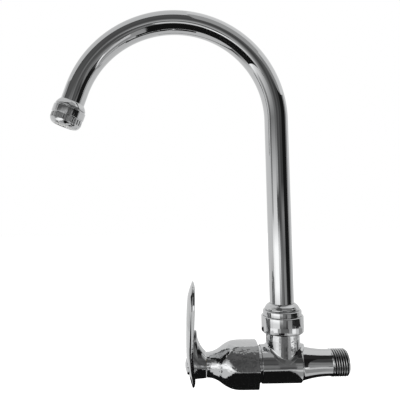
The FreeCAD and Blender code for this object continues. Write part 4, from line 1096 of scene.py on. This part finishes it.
@dataclass(frozen=True)
class Spout:
    """The bent tube with the turned spigot brazed in its foot."""

    tube_radius: float = 9.525 * MM
    tube_wall: float = 1.0 * MM
    foot: float = 38.0 * MM
    arc_height: float = 195.2 * MM
    arc_radius: float = 84.6 * MM
    arc_angle: float = math.radians(160)
    tail: float = 14.8 * MM
    sides: int = 96
    leg_rows: int = 24
    arc_rows: int = 120

    def build(self) -> None:
        """Bends the tube and dresses the spigot."""
        tube = Piece("bent_tube")
        shape = tube.shape
        start = SPOUT_AXIS.origin + Vector((0.0, 0.0, self.foot))
        made = bmesh.ops.create_circle(shape, segments=self.sides, radius=self.tube_radius,
                                       matrix=Matrix.Translation(start))
        edges = list({edge for vert in made["verts"] for edge in vert.link_edges})
        rise = (self.arc_height - self.foot) / self.leg_rows
        for _row in range(self.leg_rows):
            edges = self.pull(shape, edges, Vector((0.0, 0.0, rise)))
        centre = SPOUT_AXIS.origin + Vector((-self.arc_radius, 0.0, self.arc_height))
        bent = bmesh.ops.spin(shape, geom=edges, cent=centre, axis=(0.0, -1.0, 0.0),
                              angle=self.arc_angle, steps=self.arc_rows)
        edges = [item for item in bent["geom_last"] if isinstance(item, bmesh.types.BMEdge)]
        self.pull(shape, edges, self.nozzle_axis().along * self.tail)
        bmesh.ops.recalc_face_normals(shape, faces=shape.faces)
        bmesh.ops.solidify(shape, geom=shape.faces[:], thickness=self.tube_wall)
        tube.finish(Body.SPOUT, Look.DRAWN_CHROME, "spout_tube", round_edge=0.1 * MM, crease=60)
        dress_nodes(Look.BRASS, "spout_spigot")
        dress_nodes(Look.RUBBER, "spout_o_rings")

    def pull(self, shape: bmesh.types.BMesh, edges: list[bmesh.types.BMEdge],
             way: Vector) -> list[bmesh.types.BMEdge]:
        """Draws the tube's open end on in a straight line.

        Args:
            shape: the tube.
            edges: its open end.
            way: how far it is drawn, and where to.

        Returns:
            The new open end.
        """
        drawn = bmesh.ops.extrude_edge_only(shape, edges=edges)["geom"]
        verts = [item for item in drawn if isinstance(item, bmesh.types.BMVert)]
        bmesh.ops.translate(shape, verts=verts, vec=way)
        return [item for item in drawn if isinstance(item, bmesh.types.BMEdge)
                and all(vert in verts for vert in item.verts)]

    def nozzle_axis(self, tail: float = 0.0) -> Axis:
        """Gives the axis that leaves the arc's end.

        Args:
            tail: how far from the arc's end the axis starts.
        """
        outwards = Vector((math.cos(self.arc_angle), 0.0, math.sin(self.arc_angle)))
        along = Vector((-outwards.z, 0.0, outwards.x))
        centre = SPOUT_AXIS.origin + Vector((-self.arc_radius, 0.0, self.arc_height))
        return Axis(centre + outwards * self.arc_radius + along * tail, along, outwards)


@dataclass(frozen=True)
class Nozzle:
    """The cone at the tube's end and the fluted aerator that screws on it."""

    tail: float = 10.9 * MM
    lip_radius: float = 9.95 * MM
    collar_radius: float = 12.3 * MM
    collar_height: float = 5.1 * MM
    collar_bulge: float = 14.0 * MM
    tube_radius: float = 9.55 * MM
    thread_radius: float = 10.9 * MM
    thread_end: float = 10.2 * MM
    gap: float = 0.4 * MM
    seam: float = 0.8 * MM
    shell_radius: float = 13.0 * MM
    band: float = 6.2 * MM
    groove: float = 0.7 * MM
    grip_radius: float = 12.6 * MM
    grip: float = 4.0 * MM
    rim: float = 4.0 * MM
    rim_bend: float = 6.0 * MM
    mouth_radius: float = 9.9 * MM
    mouth_bore: float = 8.3 * MM
    step: float = 12.4 * MM
    flutes: int = 28
    flute_depth: float = 0.55 * MM
    band_flute_depth: float = 0.05 * MM
    flute_shape: float = 0.5
    facets: int = 10

    def build(self, axis: Axis) -> None:
        """Builds the cone and the shell, and dresses the aerator inside.

        Args:
            axis: the nozzle's axis, from the cone's first edge.
        """
        self.build_collar(axis)
        self.build_shell(axis)
        dress_nodes(Look.RUBBER, "aerator_washer")
        dress_nodes(Look.PLASTIC, "jet_plate", "flow_straightener")
        dress_nodes(Look.STEEL, "aerator_screen")

    def build_collar(self, axis: Axis) -> None:
        """Builds the cone brazed on the tube, with the neck that the shell screws on."""
        outline = (
            Outline(0.0, self.tube_radius)
            .line(0.0, self.lip_radius - self.gap / 2)
            .bead(self.gap / 2, self.lip_radius)
            .arc(self.collar_height - self.gap * 2, self.collar_radius, self.collar_bulge)
            .line(self.collar_height - self.gap, self.collar_radius)
            .bead(self.collar_height, self.collar_radius - self.gap)
            .line(self.collar_height, self.thread_radius)
            .line(self.thread_end, self.thread_radius)
            .line(self.thread_end, self.tube_radius)
        )
        collar = Piece("nozzle_cone")
        collar.turn(outline, axis)
        collar.finish(Body.SPOUT, Look.TURNED_CHROME, "nozzle_collar", round_edge=0.1 * MM, crease=35)

    def build_shell(self, axis: Axis) -> None:
        """Builds the fluted shell with its rounded rim."""
        low = self.collar_height + self.seam
        band_top = low + self.band
        grip_low = band_top + self.groove
        grip_top = grip_low + self.grip
        end = grip_top + self.rim
        bore = self.thread_radius + self.gap / 8
        outline = (
            Outline(low, bore)
            .line(low, self.shell_radius - self.gap)
            .bead(low + self.gap, self.shell_radius)
            .line(band_top - self.gap, self.shell_radius)
            .bead(band_top, self.shell_radius - self.gap)
            .line(band_top, self.grip_radius - self.groove)
            .line(grip_low, self.grip_radius - self.groove)
            .line(grip_low, self.grip_radius)
            .line(grip_top, self.grip_radius)
            .line(grip_top, self.grip_radius - self.gap * 2)
            .line(grip_top + self.gap / 2, self.grip_radius - self.gap * 2)
            .line(grip_top + self.gap / 2, self.grip_radius - self.gap / 4)
            .arc(end, self.mouth_radius, self.rim_bend)
            .bead(end - self.gap, self.mouth_bore)
            .line(self.step, self.mouth_bore)
            .line(self.step, bore)
        )
        shell = Piece("fluted_shell")
        shell.turn(outline, axis, steps=self.flutes * self.facets)
        self.press_flutes(shell, axis, self.grip_radius, grip_low, grip_top, self.flute_depth)
        self.press_flutes(shell, axis, self.shell_radius, low, band_top, self.band_flute_depth)
        shell.finish(Body.SPOUT, Look.CAST_CHROME, "aerator_shell", round_edge=0.08 * MM, crease=50)

    def press_flutes(self, shell: Piece, axis: Axis, radius: float, low: float, high: float,
                     depth: float) -> None:
        """Presses flutes into one band of the shell.

        Args:
            shell: the shell.
            axis: its axis.
            radius: the band's radius.
            low: where the band starts.
            high: where it ends.
            depth: how deep the flutes are.
        """
        across = axis.along.cross(axis.side)
        play = self.gap / 8
        for vert in shell.shape.verts:
            along, outwards = axis.split(vert.co)
            if not low - play <= along <= high + play or outwards.length < radius - play:
                continue
            angle = math.atan2(outwards.dot(across), outwards.dot(axis.side))
            press = depth * max(0.0, math.cos(angle * self.flutes)) ** self.flute_shape
            vert.co -= outwards.normalized() * press


# ---------------------------------------------------------------- studio

@dataclass(frozen=True)
class Strip:
    """A curved studio card round the spout axis, which only reflections see.

    Its directions are in degrees from the camera's side, positive to the camera's right. Its
    light follows its stops, each a height in metres and a level, where 1 is white. A skirting is
    a strip of one level along the walls' foot.
    """

    name: str
    from_turn: float
    to_turn: float
    stops: tuple[tuple[float, float], ...]
    radius: float = 0.61


@dataclass(frozen=True)
class Panel:
    """A level studio card, which only reflections see, between two corners at one height."""

    name: str
    height: float
    left: float
    right: float
    front: float
    back: float
    level: float


STRIPS = (
    Strip("left_wall", -175, -114, ((-0.14, 0.75), (-0.08, 0.85), (0.6, 0.95), (0.9, 0.95))),
    Strip("left_corner", -114, -98, ((-0.14, 0.08), (-0.1, 0.2), (-0.04, 0.6), (0.04, 0.9),
                                     (0.6, 0.9), (0.9, 0.95))),
    Strip("window_jamb", -98, -77, ((-0.14, 0.3), (-0.04, 0.55), (0.04, 0.85), (0.3, 0.85),
                                    (0.5, 0.5), (0.9, 0.2))),
    Strip("window_shade", -77, -61, ((-0.14, 0.95), (-0.08, 1.1), (-0.04, 1.5), (0.05, 1.55),
                                     (0.1, 1.1), (0.134, 0.55), (0.22, 0.34), (0.31, 0.22),
                                     (0.4, 0.12), (0.9, 0.1))),
    Strip("window", -61, -25, ((-0.14, 1.15), (-0.08, 1.2), (-0.04, 1.75), (0.05, 1.75),
                               (0.1, 1.2), (0.22, 0.8), (0.31, 0.45), (0.4, 0.14), (0.9, 0.1))),
    Strip("window_edge", -25, -7, ((-0.14, 0.2), (-0.09, 0.3), (-0.04, 0.7), (0.03, 1.15),
                                   (0.07, 0.9), (0.12, 0.15), (0.165, 0.1), (0.2, 0.55),
                                   (0.24, 0.6), (0.31, 0.3), (0.4, 0.1), (0.9, 0.1))),
    Strip("grey_room", -7, 8, ((-0.14, 0.1), (-0.09, 0.25), (0.04, 0.28), (0.11, 0.09), (0.2, 0.13),
                               (0.3, 0.12), (0.5, 0.08), (0.9, 0.3))),
    Strip("dark_post", 8, 18, ((-0.14, 0.06), (0.0, 0.2), (0.15, 0.17), (0.9, 0.08))),
    Strip("pale_curtain", 18, 41, ((-0.14, 0.42), (0.0, 0.36), (0.04, 0.25), (0.13, 0.33),
                                   (0.2, 0.08), (0.9, 0.06))),
    Strip("dark_room", 41, 57, ((-0.14, 0.15), (-0.1, 0.06), (0.0, 0.015), (0.9, 0.015))),
    Strip("pale_post", 57, 64, ((-0.14, 0.3), (-0.08, 0.012), (0.9, 0.012))),
    Strip("black_room", 64, 85, ((-0.14, 0.02), (0.9, 0.012))),
    Strip("right_corner", 85, 102, ((-0.14, 0.6), (0.0, 0.45), (0.14, 0.48), (0.3, 0.3), (0.9, 0.5))),
    Strip("right_wall", 102, 185, ((-0.14, 0.75), (0.0, 0.8), (0.6, 0.85), (0.9, 0.9))),
    Strip("lever_reflector", -128, -76, ((-0.05, 0.9), (0.02, 0.9)), radius=0.11),
    Strip("lever_shade", -81, -75, ((-0.014, 0.01), (0.06, 0.01)), radius=0.0735),
)

SKIRTINGS = (
    ("left_skirting", -175, -98, 0.02),
    ("jamb_foot", -98, -79, 0.4),
    ("window_sill", -79, -37, 1.5),
    ("sill_end", -37, -20, 0.5),
    ("grey_skirting", -20, 24, 0.2),
    ("curtain_foot", 24, 41, 0.5),
    ("pale_skirting", 41, 63, 1.5),
    ("right_skirting", 63, 84, 0.9),
    ("corner_skirting", 84, 120, 0.45),
    ("wall_skirting", 120, 185, 0.85),
)

PANELS = (
    Panel("left_ceiling", 0.52, -0.7, -0.11, -0.18, 0.62, 0.82),
    Panel("left_front_ceiling", 0.52, -0.7, -0.11, -0.62, -0.18, 0.12),
    Panel("middle_ceiling", 0.52, -0.11, 0.15, -0.085, 0.62, 0.95),
    Panel("middle_front_ceiling", 0.52, -0.11, 0.15, -0.4, -0.085, 0.5),
    Panel("front_ceiling", 0.52, -0.11, 0.6, -0.62, -0.4, 0.14),
    Panel("neck_lid", 0.03, -0.033, 0.01, -0.032, -0.0105, 0.03),
    Panel("right_ceiling", 0.52, 0.15, 0.6, -0.16, 0.62, 0.95),
    Panel("right_front_ceiling", 0.52, 0.15, 0.6, -0.4, -0.16, 0.4),
    Panel("dark_tray", 0.235, -0.145, -0.085, -0.075, -0.008, 0.01),
    Panel("table_under_valve", -0.035, -0.121, -0.03, -0.085, 0.07, 0.01),
    Panel("table_by_bell", -0.035, -0.24, -0.121, -0.1, -0.014, 0.85),
    Panel("table_behind_bell", -0.035, -0.24, -0.121, -0.014, 0.07, 0.01),
    Panel("table_edge", -0.035, -0.115, -0.03, -0.1, -0.085, 0.7),
    Panel("table_under_neck", -0.035, -0.03, 0.02, -0.01, 0.07, 0.01),
    Panel("dark_table", -0.2, -0.35, -0.06, -0.62, -0.1, 0.01),
    Panel("left_table", -0.2, -0.7, -0.35, -0.62, -0.1, 0.5),
    Panel("grey_table", -0.2, -0.06, 0.08, -0.62, -0.1, 0.45),
    Panel("right_table", -0.2, 0.08, 0.6, -0.3, -0.1, 0.4),
    Panel("right_front_table", -0.2, 0.08, 0.6, -0.62, -0.3, 0.85),
    Panel("pale_table", -0.2, -0.7, 0.6, -0.1, 0.62, 0.76),
)


@dataclass(frozen=True)
class Lamp:
    """A soft square lamp: its place, its width in metres and its power in watts."""

    name: str
    place: Vector
    size: float
    power: float


LAMPS = (
    Lamp("key_lamp", Vector((-0.6, -0.7, 0.9)), 0.5, 9.0),
    Lamp("fill_lamp", Vector((0.8, -0.5, 0.4)), 0.5, 4.0),
)


@dataclass(frozen=True)
class Studio:
    """The camera, the lamps, the pale floor and the cards that the chrome reflects."""

    camera_place: Vector = Vector((-0.111229, -0.319584, 0.112729))
    camera_yaw: float = -0.378
    camera_pitch: float = 3.271
    camera_roll: float = -1.14
    lens: float = 35.4
    sensor: float = 36.0
    clip_start: float = 0.01
    floor_height: float = -0.25
    floor_size: float = 12.0
    floor_glow: float = 0.62
    floor_grey: float = 0.8
    skirting_foot: float = -0.25
    skirting_top: float = -0.14
    soft_light: float = 0.6
    strip_step: float = 4.0
    brightest: float = 2.0
    middle: Vector = Vector((-0.11, 0.0, 0.13))

    def build(self) -> None:
        """Sets up the whole studio."""
        self.place_camera()
        self.light_world()
        self.lay_floor()
        for strip in STRIPS:
            self.hang_strip(strip)
        for name, from_turn, to_turn, level in SKIRTINGS:
            stops = ((self.skirting_foot, level), (self.skirting_top, level))
            self.hang_strip(Strip(name, from_turn, to_turn, stops))
        for panel in PANELS:
            self.hang_panel(panel)
        for lamp in LAMPS:
            self.hang_lamp(lamp)

    def place_camera(self) -> None:
        """Puts the camera where the photograph was taken from."""
        yaw, pitch, roll = (math.radians(angle) for angle in
                            (self.camera_yaw, self.camera_pitch, self.camera_roll))
        ahead = Vector((math.sin(yaw) * math.cos(pitch), math.cos(yaw) * math.cos(pitch),
                        math.sin(pitch)))
        level = Vector((math.cos(yaw), -math.sin(yaw), 0.0))
        above = level.cross(ahead)
        right = math.cos(roll) * level + math.sin(roll) * above
        up = math.cos(roll) * above - math.sin(roll) * level
        data = bpy.data.cameras.new("camera")
        data.lens = self.lens
        data.sensor_width = self.sensor
        data.clip_start = self.clip_start
        camera = add_object("camera", data)
        turn = Matrix((right, up, -ahead)).transposed()
        camera.matrix_world = Matrix.Translation(self.camera_place) @ turn.to_4x4()
        bpy.context.scene.camera = camera

    def light_world(self) -> None:
        """Makes the world white where it is seen or reflected, and a soft light elsewhere."""
        world = bpy.data.worlds.new("studio")
        bpy.context.scene.world = world
        world.use_nodes = True
        graph = Graph(world.node_tree, "OutputWorld")
        soft, white = (
            graph.node("Background", {"Color": (1.0, 1.0, 1.0, 1.0), "Strength": strength})
            for strength in (self.soft_light, 1.0)
        )
        mix = graph.node("MixShader", {
            "Fac": self.seen_ray(graph), 1: soft.outputs["Background"],
            2: white.outputs["Background"],
        })
        graph.link(mix.outputs["Shader"], graph.output.inputs["Surface"])

    def seen_ray(self, graph: Graph) -> bpy.types.NodeSocket:
        """Tells rays that show a surface from rays that light one.

        Args:
            graph: the node tree that asks.

        Returns:
            A socket that is 1 for camera, glossy and transmission rays.
        """
        path = graph.node("LightPath")
        seen = path.outputs["Is Camera Ray"]
        for other in ("Is Glossy Ray", "Is Transmission Ray"):
            either = graph.node("Math", {0: seen, 1: path.outputs[other]}, operation="MAXIMUM")
            seen = either.outputs[0]
        return seen

    def lay_floor(self) -> None:
        """Lays the pale floor, which shows as white and keeps the faucet's soft shadow."""
        shape = bmesh.new()
        bmesh.ops.create_grid(shape, x_segments=1, y_segments=1, size=self.floor_size)
        bmesh.ops.translate(shape, verts=shape.verts, vec=(0.0, 0.0, self.floor_height))
        shader = Shader("pale_floor")
        lit = shader.node("BsdfDiffuse", {"Color": (*[self.floor_grey] * 3, 1.0)})
        level = shader.node("Math", {0: self.seen_ray(shader), 1: self.floor_glow},
                            operation="MULTIPLY")
        glow = shader.node("Emission", {"Strength": level.outputs[0]})
        both = shader.node("AddShader", {0: lit.outputs["BSDF"], 1: glow.outputs["Emission"]})
        shader.link(both.outputs["Shader"], shader.output.inputs["Surface"])
        self.stage_object("floor", shape, shader)

    def stage_object(self, name: str, shape: bmesh.types.BMesh, shader: Shader) -> bpy.types.Object:
        """Makes an object of the studio from a mesh that is being built.

        Args:
            name: the object's name.
            shape: its mesh, which this call frees.
            shader: its material.

        Returns:
            The object.
        """
        made = add_mesh(name, shape, shader.material)
        return made

    def hang_card(self, name: str, shape: bmesh.types.BMesh, shader: Shader) -> None:
        """Hangs a card that only reflections see.

        Args:
            name: the card's name.
            shape: its mesh, which this call frees.
            shader: its material.
        """
        card = self.stage_object(name, shape, shader)
        for ray in ("camera", "diffuse", "shadow", "transmission", "volume_scatter"):
            setattr(card, f"visible_{ray}", False)

    def hang_strip(self, strip: Strip) -> None:
        """Hangs a strip, its light graded from its foot to its top.

        Args:
            strip: the strip's place and levels.
        """
        low, high = strip.stops[0][0], strip.stops[-1][0]
        start = math.radians(strip.from_turn)
        foot = SPOUT_AXIS.origin + Vector((math.sin(start), -math.cos(start), 0.0)) * strip.radius
        shape = bmesh.new()
        ends = [shape.verts.new((foot.x, foot.y, height)) for height in (low, high)]
        edge = shape.edges.new(ends)
        turn = strip.to_turn - strip.from_turn
        bmesh.ops.spin(shape, geom=[*ends, edge], cent=SPOUT_AXIS.origin, axis=SPOUT_AXIS.along,
                       angle=math.radians(turn), steps=max(2, round(turn / self.strip_step)))
        shader = Shader(strip.name)
        split = shader.node("SeparateXYZ", {"Vector": shader.place()})
        share = shader.node("MapRange", {
            "Value": split.outputs["Z"], "From Min": low, "From Max": high,
        })
        ramp = shader.node("ValToRGB", {"Fac": share.outputs["Result"]})
        while len(ramp.color_ramp.elements) < len(strip.stops):
            ramp.color_ramp.elements.new(0.5)
        for element, (height, level) in zip(ramp.color_ramp.elements, strip.stops):
            grey = level / self.brightest
            element.position = (height - low) / (high - low)
            element.color = (grey, grey, grey, 1.0)
        glow = shader.node("Emission", {
            "Color": ramp.outputs["Color"], "Strength": self.brightest,
        })
        shader.link(glow.outputs["Emission"], shader.output.inputs["Surface"])
        self.hang_card(strip.name, shape, shader)

    def hang_panel(self, panel: Panel) -> None:
        """Hangs a level panel.

        Args:
            panel: the panel's place and level.
        """
        shape = bmesh.new()
        bmesh.ops.create_grid(shape, x_segments=1, y_segments=1, size=0.5)
        bmesh.ops.scale(shape, verts=shape.verts,
                        vec=(panel.right - panel.left, panel.back - panel.front, 1.0))
        middle = ((panel.left + panel.right) / 2, (panel.front + panel.back) / 2, panel.height)
        bmesh.ops.translate(shape, verts=shape.verts, vec=middle)
        shader = Shader(panel.name)
        glow = shader.node("Emission", {"Strength": panel.level})
        shader.link(glow.outputs["Emission"], shader.output.inputs["Surface"])
        self.hang_card(panel.name, shape, shader)

    def hang_lamp(self, lamp: Lamp) -> None:
        """Hangs a lamp that looks at the middle of the faucet and shows in no reflection.

        Args:
            lamp: the lamp's place, size and power.
        """
        data = bpy.data.lights.new(lamp.name, "AREA")
        data.size = lamp.size
        data.energy = lamp.power
        made = add_object(lamp.name, data)
        made.location = lamp.place
        made.rotation_euler = (self.middle - lamp.place).to_track_quat("-Z", "Y").to_euler()
        made.visible_glossy = False


def main() -> None:
    """Loads the frame, builds the studio, and builds and dresses every sub-assembly."""
    logging.basicConfig(level=logging.INFO, format="%(name)s: %(message)s")
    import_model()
    bpy.context.scene.view_settings.view_transform = "Standard"
    Studio().build()
    spout, nozzle = Spout(), Nozzle()
    Tee().build()
    Bonnet().build()
    Cartridge().build()
    Lever().build()
    SwivelJoint().build()
    spout.build()
    nozzle.build(spout.nozzle_axis(nozzle.tail))


if __name__ == "__main__":
    main()
